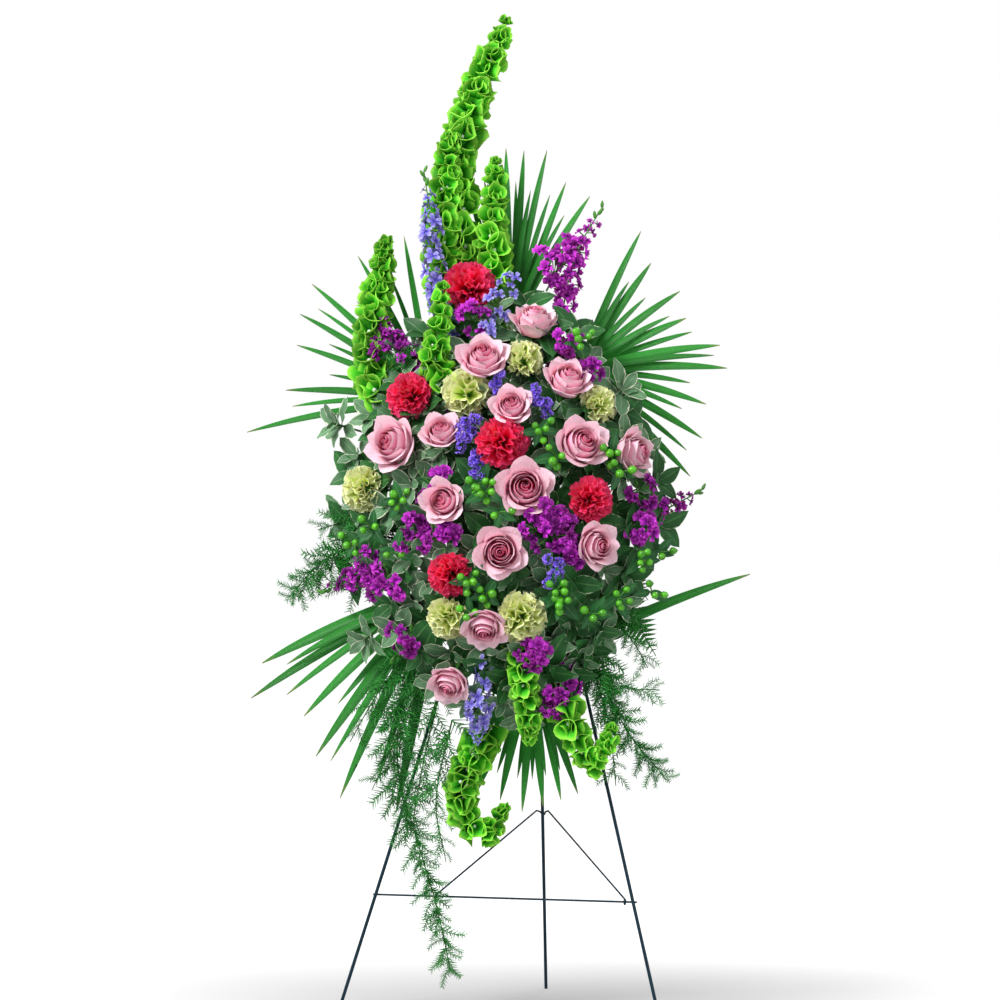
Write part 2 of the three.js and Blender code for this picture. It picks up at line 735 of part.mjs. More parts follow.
// A spike from its tip down to its fork: whorls of lobes round a stem, each a funnel that rises
// from its foot, with the lobes of one over the hollows of the next.
function spike(kind, points, whorls, to, random) {
  const curve = new THREE.CatmullRomCurve3(points);
  const run = curve.getSpacedPoints(60);
  const frames = framesAlong(run);
  const station = (whorl) => Math.round((whorl / whorls) * to * 60);
  const head = ringed(kind.sides, 2 * whorls + 1, (level, index) => {
    const whorl = Math.min(whorls, Math.ceil(level / 2));
    const foot = level % 2 === 0;
    const at = station(whorl);
    const { along, across, face } = frames[at];
    if (level === 0) return run[0].clone();
    if (level === 2 * whorls + 1) return run[at].clone().addScaledVector(along, 4);
    if (foot) return around3(run[at], across, face, kind.stem * 1.2, (TAU * index) / kind.sides);
    const grow = mix(kind.tip, 1, Math.min(1, (whorl - 1) / Math.min(4, whorls)));
    const lobe = (index + whorl) % 2 === 0;
    const reach = kind.reach * grow * (lobe ? 1 : kind.hollow) * (1 + around(random, 0.1));
    const rise = kind.rise * grow - (lobe ? 0 : kind.dip) + around(random, kind.ruffle);
    return around3(run[at], across, face, reach, (TAU * index) / kind.sides).addScaledVector(along, -rise);
  });
  const spine = Array.from({ length: whorls }, (_, k) => run[station(k + 1)]);
  const rest = [run[Math.round(mix(to, 1, 0.5) * 60)], run[60]];
  return { stems: [stalk([...spine, ...rest], kind.stem, 4)], heads: [head] };
}

// The point that far out from a middle, at an angle from across towards face.
const around3 = (middle, across, face, reach, angle) =>
  middle
    .clone()
    .addScaledVector(across, reach * Math.cos(angle))
    .addScaledVector(face, reach * Math.sin(angle));

const BERRY = { radius: 6.2, reach: 17, neck: 1 };

// A cluster of berries, each on its own short stalk from the cluster's middle.
function berries(centre, axis, count, random) {
  const bodies = [];
  const at = standing(centre, axis, 0);
  for (let k = 0; k < count; k += 1) {
    const open = mix(0.2, 1.3, (k + 0.5) / count);
    const reach = BERRY.reach * (1 + around(random, 0.15));
    const head = at(reach * Math.sin(open), k * GOLDEN, reach * Math.cos(open));
    const out = head.clone().sub(centre).normalize();
    const own = standing(head, out, 0);
    bodies.push(
      ringed(4, 3, (level, index) => {
        const heading = (TAU * index) / 4;
        if (level === 0) return own(0, 0, -reach);
        if (level === 1) return own(BERRY.neck, heading, -BERRY.radius);
        if (level === 2) return own(BERRY.radius * 1.1, heading, 0);
        return own(0, 0, BERRY.radius * 1.1);
      })
    );
  }
  return [knob(centre, 3), ...bodies];
}

// A cluster of tiny papery florets: points stand out of a small heart all over.
function papery(centre, axis, radius) {
  const at = standing(centre, axis, 0);
  return ringed(8, 5, (level, index) => {
    const open = (Math.PI * level) / 5;
    const out = radius * ((index + level) % 2 ? 1 : 0.6);
    return at(out * Math.sin(open), (TAU * index) / 8, out * Math.cos(open));
  });
}

// Greens.

// A palm fan: blades from a hub to their tips, folded along the middle.
function fan(place, hub, tips, width, radius = 2.6) {
  const [inner, outer] = rooted(place, radius);
  const bend = outer.clone().addScaledVector(place.out, 6);
  const blades = tips.map((tip, k) => {
    const reach = tip.distanceTo(hub);
    const bow = vec(0, k % 2 ? 5 : -5, reach * 0.03);
    const points = [0, 1 / 3, 2 / 3, 1].map((t) =>
      between(hub, tip, t).addScaledVector(bow, 4 * t * (1 - t))
    );
    const side = tip.clone().sub(hub).cross(vec(0, 1, 0));
    return leaf(points, [width, width * 0.8], side, 1.4, 0.22);
  });
  return { stems: [stalk([inner, outer, bend, hub], radius, 4)], heads: [knob(hub, 7), ...blades] };
}

const NEEDLE = { length: 12, whorls: 2, core: 0.8, sweep: 7 };

// A sprig of needles: whorls of three stand out of a slim core and sweep towards its tip.
function sprig(root, tip, random) {
  const [{ along, across, face }] = framesAlong([root, tip]);
  const reach = tip.distanceTo(root);
  const levels = NEEDLE.whorls * 2 + 1;
  return ringed(6, levels, (level, index) => {
    const share = level / levels;
    const star = level % 2 === 0 && level > 0;
    const out = star && (index + level / 2) % 2 === 0 ? NEEDLE.length * (1.1 - 0.5 * share) : NEEDLE.core;
    const middle = root.clone().addScaledVector(along, reach * share);
    if (level === 0 || level === levels) return middle;
    if (out > NEEDLE.core) middle.addScaledVector(along, NEEDLE.sweep);
    return around3(middle, across, face, out * (1 + around(random, 0.12)), (TAU * index) / 6);
  });
}

// A spray of needle-leaved fern: sprigs on a slim trailing stem.
function needleSpray(points, sprigs, length, seed) {
  const random = seeded(seed);
  const run = smooth(points, 6).reverse();
  const sideways = alongRun(run, sprigs, 0.01, 0.86, (point, outward, back, share) => {
    const spread = outward.clone().multiplyScalar(0.85).addScaledVector(back, -0.9);
    const way = vec(spread.x, spread.y * 0.35, spread.z - 0.15).normalize();
    const reach = length * mix(0.5, 1, share) * (1 + around(random, 0.2));
    return sprig(point, point.clone().addScaledVector(way, reach), random);
  });
  return { stems: [stalk(run, 0.9, 3, 1.6)], heads: sideways };
}

// A rosette of oval leaves round a twig's end.
function rosette(centre, axis, count, length, width, random) {
  const leaves = [knob(centre, 4)];
  for (let k = 0; k < count; k += 1) {
    const turn = k * GOLDEN;
    const open = mix(0.75, 1.4, (k + 0.5) / count);
    const root = centre.clone().addScaledVector(axis, 2 - k * 1.2);
    const at = standing(root, axis, 0);
    const reach = length * (1 + around(random, 0.12));
    const point = (t) =>
      at(reach * t * Math.sin(open), turn, reach * t * Math.cos(open) - reach * 0.12 * t * t);
    const side = at(1, turn + Math.PI / 2, 0).sub(root);
    const stations = [0, 0.42, 0.76, 1].map(point);
    leaves.push(leaf(stations, [width * 0.86, width * 0.9], side, 1.2, -0.16));
  }
  return leaves;
}

// A fern frond on its stalk: one thin blade along a rib, its edges cut into leaflets that shorten
// to the tip.
function fernFrond(stem, path, pairs, width) {
  const levels = pairs * 2 + 1;
  const run = smooth(path, levels);
  const frames = framesAlong(run, vec(1, 0, 0));
  const blade = ringed(4, levels, (level, index) => {
    if (level === 0 || level === levels) return run[level].clone();
    const { along, across, face } = frames[level];
    const tooth = level % 2 === 0;
    const wide = tooth ? width * Math.sin(Math.PI * mix(0.3, 0.95, level / levels)) : 2.2;
    const out = index % 2 === 0 ? wide : 0.7;
    const middle = run[level].clone();
    if (tooth && index % 2 === 0) middle.addScaledVector(along, 5);
    return around3(middle, across, face, out, (TAU * index) / 4);
  });
  return { stems: [stalk([stem, path[0], run[1]], 1.4, 4)], heads: [blade] };
}

// The arrangement: column and row of each bloom's middle, how far it stands proud of the dome, its
// width, and the way it faces.

const roses = [
  { column: 535, row: 313, proud: -10, size: 62, turn: 12, lift: 62 },
  { column: 483, row: 352, proud: 8, size: 66, turn: 0, lift: 38 },
  { column: 570, row: 373, proud: 4, size: 62, turn: 15, lift: 42 },
  { column: 511, row: 402, proud: 12, size: 54, turn: -5, lift: 25 },
  { column: 440, row: 427, proud: 2, size: 54, turn: -10, lift: 35 },
  { column: 387, row: 442, proud: 8, size: 72, turn: -35, lift: 10 },
  { column: 585, row: 440, proud: 10, size: 68, turn: 20, lift: 20 },
  { column: 641, row: 452, proud: 4, size: 62, turn: 55, lift: 5 },
  { column: 525, row: 486, proud: 14, size: 72, turn: 0, lift: 10 },
  { column: 440, row: 500, proud: 6, size: 58, turn: -20, lift: 8 },
  { column: 500, row: 552, proud: 16, size: 66, turn: 0, lift: 0 },
  { column: 601, row: 546, proud: 4, size: 58, turn: 30, lift: 0 },
  { column: 484, row: 632, proud: 10, size: 58, turn: -5, lift: -35 },
  { column: 447, row: 688, proud: 6, size: 54, turn: -20, lift: -35 },
];

const redCarnations = [
  { column: 469, row: 279, proud: 6, size: 75, turn: 0, lift: 22 },
  { column: 403, row: 391, proud: 8, size: 68, turn: -25, lift: 15 },
  { column: 504, row: 440, proud: 14, size: 74, turn: 5, lift: 5 },
  { column: 596, row: 498, proud: 8, size: 64, turn: 20, lift: 5 },
  { column: 446, row: 577, proud: 8, size: 62, turn: -15, lift: -10 },
];

const creamCarnations = [
  {
    name: "upper",
    heads: [
      { column: 464, row: 384, proud: -2, size: 70, turn: -10, lift: 25 },
      { column: 526, row: 351, proud: -14, size: 56, turn: 10, lift: 35 },
    ],
  },
  { name: "right", heads: [{ column: 605, row: 398, proud: -8, size: 54, turn: 30, lift: 25 }] },
  { name: "left", heads: [{ column: 352, row: 489, proud: 4, size: 66, turn: -40, lift: 0 }] },
  {
    name: "low",
    heads: [
      { column: 443, row: 622, proud: -4, size: 60, turn: -20, lift: -15 },
      { column: 523, row: 622, proud: 6, size: 72, turn: 5, lift: -12 },
    ],
  },
];

// Lines of points through the picture: column, row, and how far forward of the easel's plane.
const line = (points) =>
  points.map(([column, row, forward]) => {
    let point = seen(column, row, 0);
    for (let pass = 0; pass < 4; pass += 1) {
      point = seen(column, row, easelBack(Math.min(point.z, EASEL.apexHeight)) - forward);
    }
    return point;
  });

const bells = [
  {
    name: "top",
    place: socket(-6, 0, "top", 60),
    spikes: [
      {
        path: [[505, 24, 40], [488, 68, 50], [466, 120, 60], [458, 190, 65], [470, 300, 70]],
        whorls: 11,
        to: 0.62,
      },
      { path: [[496, 160, 76], [494, 205, 78], [492, 255, 76], [490, 330, 72]], whorls: 6, to: 0.66 },
    ],
  },
  {
    name: "left",
    place: socket(-38, 0, "top", 62),
    spikes: [
      { path: [[450, 132, 85], [446, 185, 88], [442, 240, 88], [450, 320, 84]], whorls: 7, to: 0.72 },
      { path: [[387, 238, 70], [378, 290, 78], [372, 345, 84], [385, 400, 88]], whorls: 6, to: 0.8 },
    ],
  },
  {
    name: "front",
    place: socket(-26, 100),
    spikes: [{ path: [[443, 286, 150], [440, 325, 152], [437, 370, 146]], whorls: 5, to: 0.62 }],
  },
  {
    name: "hanging",
    place: socket(20, -100),
    spikes: [
      { path: [[529, 742, 140], [527, 705, 150], [522, 668, 150]], whorls: 5, to: 0.7 },
      { path: [[612, 728, 90], [596, 762, 100], [580, 745, 110], [562, 700, 118]], whorls: 4, to: 0.5 },
    ],
  },
  {
    name: "curled",
    place: socket(-14, 0, "bottom", 50),
    spikes: [
      {
        path: [[506, 806, 74], [482, 834, 80], [462, 800, 84], [468, 768, 80], [490, 720, 66]],
        whorls: 6,
        to: 0.62,
      },
    ],
  },
];

const stocks = [
  {
    name: "upper_right",
    place: socket(44, 88),
    spikes: [
      { path: [[602, 208, 60], [580, 245, 78], [568, 282, 88], [560, 330, 90]], whorls: 5 },
      { path: [[590, 335, 100], [572, 342, 104], [560, 352, 104]], whorls: 2 },
    ],
  },
  {
    name: "upper_left",
    place: socket(-30, 66),
    spikes: [
      { path: [[376, 312, 84], [392, 335, 92], [412, 360, 98], [430, 380, 100]], whorls: 4 },
    ],
  },
  {
    name: "left",
    place: socket(-50, 4),
    spikes: [
      { path: [[322, 592, 70], [358, 577, 92], [404, 552, 112], [430, 540, 116]], whorls: 5 },
      { path: [[396, 458, 84], [428, 480, 104], [440, 486, 108]], whorls: 3 },
      { path: [[394, 660, 92], [404, 640, 100], [416, 616, 100]], whorls: 2 },
    ],
  },
  {
    name: "right",
    place: socket(50, -20),
    spikes: [
      { path: [[702, 490, 64], [668, 508, 80], [640, 520, 92], [620, 526, 98]], whorls: 4 },
      { path: [[588, 560, 150], [562, 540, 160], [552, 530, 150]], whorls: 3 },
    ],
  },
  {
    name: "low",
    place: socket(4, -84),
    spikes: [
      { path: [[578, 722, 98], [570, 690, 102], [560, 660, 106]], whorls: 3 },
    ],
  },
];

const larkspur = {
  place: socket(-20, 0, "top", 74),
  spikes: [
    { path: [[424, 172, 124], [430, 215, 128], [432, 262, 126], [444, 320, 116]], whorls: 4 },
  ],
};

const lowLarkspur = {
  place: socket(-22, -92),
  spikes: [{ path: [[474, 752, 128], [478, 720, 134], [482, 690, 138]], whorls: 3 }],
};

// Bunches: where each cluster is, forward of the easel's plane, and its size.
const statice = {
  place: socket(-8, 24),
  clusters: [
    [466, 432, 196, 20],
    [480, 466, 200, 18],
    [540, 402, 190, 18],
    [497, 384, 186, 12],
    [555, 574, 196, 18],
  ],
};

const hypericum = {
  place: socket(6, -10),
  clusters: [
    [478, 484, 204],
    [556, 456, 200],
    [486, 595, 196],
    [612, 452, 166],
    [562, 602, 188],
  ],
};

const fans = [
  {
    name: "top",
    place: socket(30, 0, "top", 34),
    hub: [510, 330, 44],
    width: 15,
    tips: [
      [468, 190, 30],
      [484, 180, 38],
      [506, 148, 30],
      [524, 150, 40],
      [547, 150, 30],
      [566, 182, 42],
      [590, 196, 34],
    ],
  },
  {
    name: "right",
    place: socket(0, 36, "right", 30),
    hub: [578, 372, 46],
    width: 15,
    tips: [
      [641, 231, 30],
      [651, 263, 44],
      [680, 291, 30],
      [686, 318, 44],
      [720, 345, 30],
      [727, 368, 44],
      [706, 404, 32],
      [702, 438, 44],
      [690, 476, 34],
    ],
  },
  {
    name: "left",
    place: socket(0, 32, "left", 30),
    hub: [432, 402, 46],
    width: 13,
    tips: [
      [404, 236, 44],
      [358, 256, 34],
      [312, 284, 44],
      [300, 314, 30],
      [297, 345, 44],
      [286, 390, 32],
      [247, 432, 40],
    ],
  },
  {
    name: "low_left",
    place: socket(0, -36, "left", 30),
    hub: [440, 590, 46],
    width: 20,
    tips: [
      [262, 663, 40],
      [251, 698, 30],
      [304, 716, 42],
      [316, 756, 30],
      [340, 798, 42],
      [396, 813, 32],
    ],
  },
  {
    name: "bottom",
    place: socket(14, 0, "bottom", 30),
    hub: [532, 668, 42],
    width: 17,
    tips: [
      [452, 778, 34],
      [478, 790, 44],
      [500, 800, 32],
      [522, 812, 44],
      [543, 806, 32],
      [561, 800, 44],
      [578, 794, 32],
      [598, 782, 44],
      [750, 574, 34],
    ],
  },
];

const ferns = [
  {
    name: "left",
    place: socket(0, 0, "left", 56),
    path: [[408, 522, 70], [366, 540, 66], [324, 560, 56], [290, 596, 46]],
    sprigs: 7,
    length: 66,
  },
  {
    name: "trailing",
    place: socket(0, -90, "left", 56),
    path: [[436, 640, 74], [404, 700, 70], [398, 768, 60], [416, 836, 52], [436, 904, 46], [450, 968, 42]],
    sprigs: 11,
    length: 62,
  },
  {
    name: "right",
    place: socket(0, -88, "right", 56),
    path: [[580, 640, 78], [606, 690, 72], [630, 735, 62], [664, 776, 50]],
    sprigs: 7,
    length: 60,
  },
];

const rosettes = [
  {
    name: "pittosporum_left",
    place: socket(0, 90, "left", 60),
    size: [44, 19],
    clusters: [
      [336, 424, 74, -60, 10],
      [372, 416, 92, -40, 20],
      [420, 452, 118, -20, 10],
    ],
  },
  {
    name: "pittosporum_low",
    place: socket(-52, -40),
    size: [42, 18],
    clusters: [
      [412, 598, 104, -35, -10],
      [400, 628, 90, -40, -25],
      [366, 640, 76, -50, -25],
    ],
  },
  {
    name: "pittosporum_right",
    place: socket(48, -62),
    size: [46, 18],
    clusters: [
      [602, 634, 98, 35, -20],
      [578, 660, 104, 15, -40],
      [622, 584, 88, 45, 0],
    ],
  },
  {
    name: "salal",
    place: socket(14, 52),
    size: [64, 36],
    leaves: 4,
    clusters: [
      [548, 392, 118, 5, 30],
      [620, 420, 94, 40, 20],
      [478, 420, 120, -10, 20],
    ],
  },
];

const leatherleaf = {
  place: socket(0, -14, "right", 56),
  fronds: [
    [[590, 560, 92], [622, 568, 82], [648, 600, 72]],
    [[590, 590, 96], [628, 612, 86], [656, 656, 76]],
  ],
};

// Every piece, its colour and its body.

const PAINT = {
  wire: { color: 0x10262a, roughness: 0.45, metalness: 0.6 },
  tray: { color: 0x1f5a33, roughness: 0.5, metalness: 0 },
  foam: { color: 0x2f7a45, roughness: 0.95, metalness: 0 },
  tie: { color: 0x2a6b3a, roughness: 0.5, metalness: 0.4 },
  rose: { color: 0xf2a0bd, roughness: 0.6, metalness: 0 },
  red: { color: 0xf0204f, roughness: 0.7, metalness: 0 },
  cream: { color: 0xd9e8a4, roughness: 0.7, metalness: 0 },
  bell: { color: 0x35b32c, roughness: 0.55, metalness: 0 },
  stock: { color: 0x8d1f8c, roughness: 0.7, metalness: 0 },
  larkspur: { color: 0x7c74cf, roughness: 0.7, metalness: 0 },
  statice: { color: 0x5a35b8, roughness: 0.8, metalness: 0 },
  berry: { color: 0x39a52b, roughness: 0.35, metalness: 0 },
  palm: { color: 0x1f7f2a, roughness: 0.5, metalness: 0 },
  fern: { color: 0x2f8f3c, roughness: 0.7, metalness: 0 },
  leatherleaf: { color: 0x1c6e2c, roughness: 0.6, metalness: 0 },
  pittosporum: { color: 0x5c8a62, roughness: 0.5, metalness: 0 },
  salal: { color: 0x2c6b3a, roughness: 0.4, metalness: 0 },
};

const fitted = (name, paint, make) => ({ name, paint, body: make(), zone: fattened(make) });
const hardware = [
  fitted("leg_left", PAINT.wire, () => frontLeg(-1)),
  fitted("leg_right", PAINT.wire, () => frontLeg(1)),
  fitted("hinge_pin", PAINT.wire, hingePin),
  fitted("cross_wire", PAINT.wire, crossWire),
  fitted("hanger", PAINT.wire, hanger),
  fitted("rear_leg", PAINT.wire, rearLeg),
  fitted("brace", PAINT.wire, brace),
  fitted("tray", PAINT.tray, tray),
  fitted("tie_wire", PAINT.tie, tieWire),
];

// A piece keeps clear of those before it. Its stem moves aside in the foam until it passes the
// other stems, and where heads would still meet, the later one is cut back.

const MARGIN = 1;

function apart(box, other) {
  return [0, 1, 2].some((i) => box.min[i] - other.max[i] > MARGIN || other.min[i] - box.max[i] > MARGIN);
}

function meets(body, zone) {
  if (apart(body.boundingBox(), zone.boundingBox())) return false;
  const common = body.intersect(zone);
  const volume = common.volume();
  common.delete();
  return volume > 1e-3;
}

function keptClear(body, zone) {
  if (!meets(body, zone)) return body;
  const rest = body.subtract(zone);
  rest.status();
  body.delete();
  return rest;
}

// Steps over the foam's face and further bends forward, in the order that they are tried.
const NUDGES = [];
for (const reach of [0, 6, 12, 18, 24, 30, 38, 46]) {
  for (const bow of [0, 14, 28]) {
    const headings = reach === 0 ? 1 : 8;
    for (let k = 0; k < headings; k += 1) {
      const heading = (TAU * k) / headings;
      NUDGES.push([reach * Math.cos(heading), reach * Math.sin(heading), bow]);
    }
  }
}

const foamWhole = () => block([-foamWide / 2, foamFoot, foamBack], [foamWide / 2, foamTop, foamFront]);
const foamZone = fattened(foamWhole);
const hardwareZones = hardware.map(({ zone }) => zone);

// A stem meets the foam only in its own hole, the last one made.
function outsideFoam(stem) {
  const hole = stalk(...holes[holes.length - 1]);
  const rest = stem.subtract(hole);
  const clear = !meets(rest, foamZone);
  [hole, rest].forEach((body) => body.delete());
  return clear;
}

const plants = [];

function plant(name, paint, grow) {
  const taken = holes.length;
  const zones = [...hardwareZones, ...plants.map(({ stemZone }) => stemZone)];
  for (const nudge of NUDGES) {
    holes.length = taken;
    const { stems, heads } = grow(nudge);
    const stem = fuse(stems);
    if (outsideFoam(stem) && !zones.some((zone) => meets(stem, zone))) {
      const { stems: fatStems, heads: fatHeads } = fattened(() => grow(nudge));
      holes.length -= 1;
      const head = fuse(heads);
      const stemZone = wasm.Manifold.union([stem, ...fatStems]);
      const zone = wasm.Manifold.union([stem, head, ...fatStems, ...fatHeads]);
      plants.push({ name, paint, stem, head, stemZone, zone });
      return;
    }
    [stem, ...heads].forEach((body) => body.delete());
  }
  throw new Error(`no room for the stem of ${name}`);
}

plant("hypericum", PAINT.berry, (nudge) => {
  const random = seeded(61);
  const members = hypericum.clusters.map(([column, row, forward]) => (fork) => {
    const [centre] = line([[column, row, forward]]);
    const axis = facing(0, 0);
    return { stems: [branch(fork, centre, axis, 1.4)], heads: berries(centre, axis, 4, random) };
  });
  return forked(aside(hypericum.place, nudge), 1.8, 6, members);
});

plant("statice", PAINT.statice, (nudge) => {
  const members = statice.clusters.map(([column, row, forward, radius]) => (fork) => {
    const [centre] = line([[column, row, forward]]);
    const axis = facing(0, 0);
    return { stems: [branch(fork, centre, axis, 1.2)], heads: [papery(centre, axis, radius)] };
  });
  return forked(aside(statice.place, nudge), 1.6, 8, members);
});

rosettes.forEach(({ name, place, size, clusters, leaves = 5 }, i) => {
  const paint = name === "salal" ? PAINT.salal : PAINT.pittosporum;
  plant(name, paint, (nudge) => {
    const random = seeded(71 + i);
    const members = clusters.map(([column, row, forward, turn, lift]) => (fork) => {
      const [centre] = line([[column, row, forward]]);
      const axis = facing(turn, lift);
      const heads = rosette(centre, axis, leaves, ...size, random);
      return { stems: [branch(fork, centre, axis, 1.5)], heads };
    });
    return forked(aside(place, nudge), 2, 6, members);
  });
});

plant("leatherleaf", PAINT.leatherleaf, (nudge) => {
  const members = leatherleaf.fronds.map((path) => (fork) => fernFrond(fork, line(path), 7, 32));
  return forked(aside(leatherleaf.place, nudge), 1.8, 6, members);
});

creamCarnations.forEach(({ name, heads }, i) => {
  const place = socketBehind(onDome(heads[0].column, heads[0].row));
  plant(`carnation_cream_${name}`, PAINT.cream, (nudge) => {
    if (heads.length === 1) return carnation(heads[0], 41 + i, nudge);
    return carnationPair(aside(place, nudge), heads, 41 + i);
  });
});

function spikes(name, paint, kind, { place, spikes: members }, seed) {
  plant(name, paint, (nudge) => {
    const random = seeded(seed);
    const made = members.map(
      ({ path, whorls, to = 0.7 }) => (fork) => spike(kind, [...line(path), fork], whorls, to, random)
    );
    return forked(aside(place, nudge), kind.stem, 4, made);
  });
}

bells.forEach((bell, i) => spikes(`bells_${bell.name}`, PAINT.bell, BELL, bell, 51 + i));
stocks.forEach((stock, i) => spikes(`stock_${stock.name}`, PAINT.stock, STOCK, stock, 91 + i));
spikes("larkspur_top", PAINT.larkspur, LARKSPUR, larkspur, 101);
spikes("larkspur_low", PAINT.larkspur, LARKSPUR, lowLarkspur, 102);

redCarnations.forEach((spot, i) =>
  plant(`carnation_red_${i + 1}`, PAINT.red, (nudge) => carnation(spot, 31 + i, nudge))
);
roses.forEach((spot, i) => plant(`rose_${i + 1}`, PAINT.rose, (nudge) => rose(spot, 11 + i, nudge)));

fans.forEach(({ name, place, hub, tips, width }) =>
  plant(`palm_${name}`, PAINT.palm, (nudge) => fan(aside(place, nudge), line([hub])[0], line(tips), width))
);

ferns.forEach(({ name, place, path, sprigs, length }, i) =>
  plant(`asparagus_fern_${name}`, PAINT.fern, (nudge) => {
    const grow = (fork) => needleSpray([fork, ...line(path)], sprigs, length, 81 + i);
    return forked(aside(place, nudge), 1.6, 4, [grow]);
  })
);

const foam = () => foamWhole().subtract(fuse(holes.map((hole) => stalk(...hole))));

// Where two heads would meet, the one named earlier here stays whole.
const WHOLE = ["rose", "carnation", "bells", "stock", "larkspur", "statice", "hypericum", "palm"];
const rank = ({ name }) => WHOLE.findIndex((kind) => name.startsWith(kind)) + 1 || WHOLE.length + 1;
plants.sort((first, second) => rank(first) - rank(second));

const settled = [...hardware, fitted("foam", PAINT.foam, foam)];
plants.forEach(({ name, paint, stem, head, zone }, i) => {
  const later = plants.slice(i + 1).map(({ stemZone }) => stemZone);
  const trimmed = [...settled.map((other) => other.zone), ...later].reduce(keptClear, head);
  settled.push({ name, paint, zone, body: largest(fuse([trimmed, stem])) });
});

// The origin is on the floor under the middle of the whole piece.

const bounds = new THREE.Box3();
settled.forEach(({ body }) => {
  const { min, max } = body.boundingBox();
  bounds.expandByPoint(vec(...min)).expandByPoint(vec(...max));
});
const middle = bounds.getCenter(vec(0, 0, 0));

const group = new THREE.Group();
settled.forEach(({ name, paint, body }) => {
  const mesh = new THREE.Mesh(geometryOf(body), new THREE.MeshStandardMaterial(paint));
  mesh.name = name;
  group.add(mesh);
});
group.position.set(-middle.x, -middle.y, -bounds.min.z);

export default group;
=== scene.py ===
from math import atan2, cos, degrees, pi, radians, sin, sqrt, tau
from random import Random

import bmesh
import bpy
from mathutils import Matrix, Vector


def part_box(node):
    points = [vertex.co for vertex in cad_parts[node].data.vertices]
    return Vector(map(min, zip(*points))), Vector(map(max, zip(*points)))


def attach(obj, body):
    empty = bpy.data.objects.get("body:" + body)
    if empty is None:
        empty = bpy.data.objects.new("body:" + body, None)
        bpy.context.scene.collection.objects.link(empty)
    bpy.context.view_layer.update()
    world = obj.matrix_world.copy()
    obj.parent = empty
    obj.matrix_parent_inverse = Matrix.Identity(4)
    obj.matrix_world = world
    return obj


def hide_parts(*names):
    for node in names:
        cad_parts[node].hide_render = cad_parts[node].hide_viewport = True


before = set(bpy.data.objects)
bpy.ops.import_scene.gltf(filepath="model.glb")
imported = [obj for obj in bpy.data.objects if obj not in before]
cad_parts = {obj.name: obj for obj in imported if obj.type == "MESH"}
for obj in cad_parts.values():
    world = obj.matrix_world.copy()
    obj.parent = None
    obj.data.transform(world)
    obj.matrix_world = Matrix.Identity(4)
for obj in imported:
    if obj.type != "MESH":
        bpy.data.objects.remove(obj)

bl_info = {
    "name": "Standing Spray Builder",
    "version": (1, 0, 0),
    "blender": (4, 5, 0),
    "location": "View3D > Sidebar > Spray",
    "description": "Builds the finished look of a flower spray on a folding wire easel",
    "category": "Add Mesh",
}

MM = 0.001
GOLDEN = radians(137.5)
UP = Vector((0, 0, 1))

# How the arrangement is looked at. Places are read in columns and rows of a square picture, and
# heights and depths are measured from the floor between the easel's front feet.
PICTURE_SIDE = 1000
TURN = radians(12.19)
ROLL = radians(0.634)
FOCAL = 3594.8
CENTRE_COLUMN = 502.8
HORIZON_ROW = 580.7
EYE_DISTANCE = 5.2125
EYE_HEIGHT = 0.6294
EYE = Vector((EYE_DISTANCE * sin(TURN), -EYE_DISTANCE * cos(TURN), EYE_HEIGHT))

# The easel's plane leans back to its apex, and the flowers lie on a dome in front of it.
APEX_HEIGHT = 0.865
APEX_BACK = 0.1468
LEAN = atan2(APEX_BACK, APEX_HEIGHT)
LEG_UP = Vector((0, sin(LEAN), cos(LEAN)))
LEG_FRONT = Vector((0, -cos(LEAN), sin(LEAN)))
FACES = {
    "front": LEG_FRONT,
    "left": Vector((-1, 0, 0)),
    "right": Vector((1, 0, 0)),
    "top": LEG_UP,
    "bottom": -LEG_UP,
}
DOME_HEIGHT = 0.76
DOME_HALF = (0.255, 0.42)
DOME_RIM = 0.062
DOME_SWELL = 0.15

# The foam's block, in the easel's plane, and the stems in it.
FOAM_HALF = (0.055, 0.115)
FOAM_MIDDLE = 0.692 / cos(LEAN)
FOAM_BACK = 0.0055
FOAM_DEEP = 0.080
FOAM_FRONT = FOAM_BACK + FOAM_DEEP
FOAM_CLEARANCE = 0.012
STEM_BURIED = 0.035
STEM_BEND = 0.060

# The easel's wires and fittings.
GAP = 0.0003
PIN = Vector((0.0065, 0.14476, 0.853))
PIN_LINE = (-0.012, 0.0, 0.0233)
PIN_HEAD = ((0.0012, 0.0), (0.005, 0.0), (0.005, 0.0016), (0.0038, 0.0024), (0.0012, 0.0027))
PIN_HEAD_AT = 0.0226
CROSS_OVERHANG = 0.005
EYE_CLEARANCE = 0.0005
EYE_TURN = 338
RING_CLEARANCE = 0.0008
BRACE_ENDS = (-0.102, 0.179)
HOOKS = (-0.038, 0.038)
HOOK_BEND = 0.003
HOOK_LIP = 0.024
TRAY_WALL = 0.0024
TRAY_TAB = 0.022
TIE_HOLES = (-0.029, 0.003)
TIE_RADIUS = 0.0009
TIE_LEG = 0.0025


def middle_of(node):
    """The middle of a CAD node's box."""
    low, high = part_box(node)
    return (Vector(low) + Vector(high)) / 2


SHIFT = middle_of("hinge_pin") - PIN


def mix(first, second, share):
    """A value or point between two others."""
    return first * (1 - share) + second * share


def swing(across, side, angle):
    """A direction between two that are square to each other."""
    return across * cos(angle) + side * sin(angle)


def ringed(axis, angle):
    """A direction square to an axis, turned round it by an angle."""
    side = axis.orthogonal().normalized()
    return swing(side, axis.cross(side), angle)


def easel_back(height):
    """How far back the easel's plane is at a height."""
    return APEX_BACK * height / APEX_HEIGHT


def on_easel(across, along, forward):
    """A point given across, up along the front legs and forward of them."""
    return Vector((across, 0, 0)) + LEG_UP * along + LEG_FRONT * forward


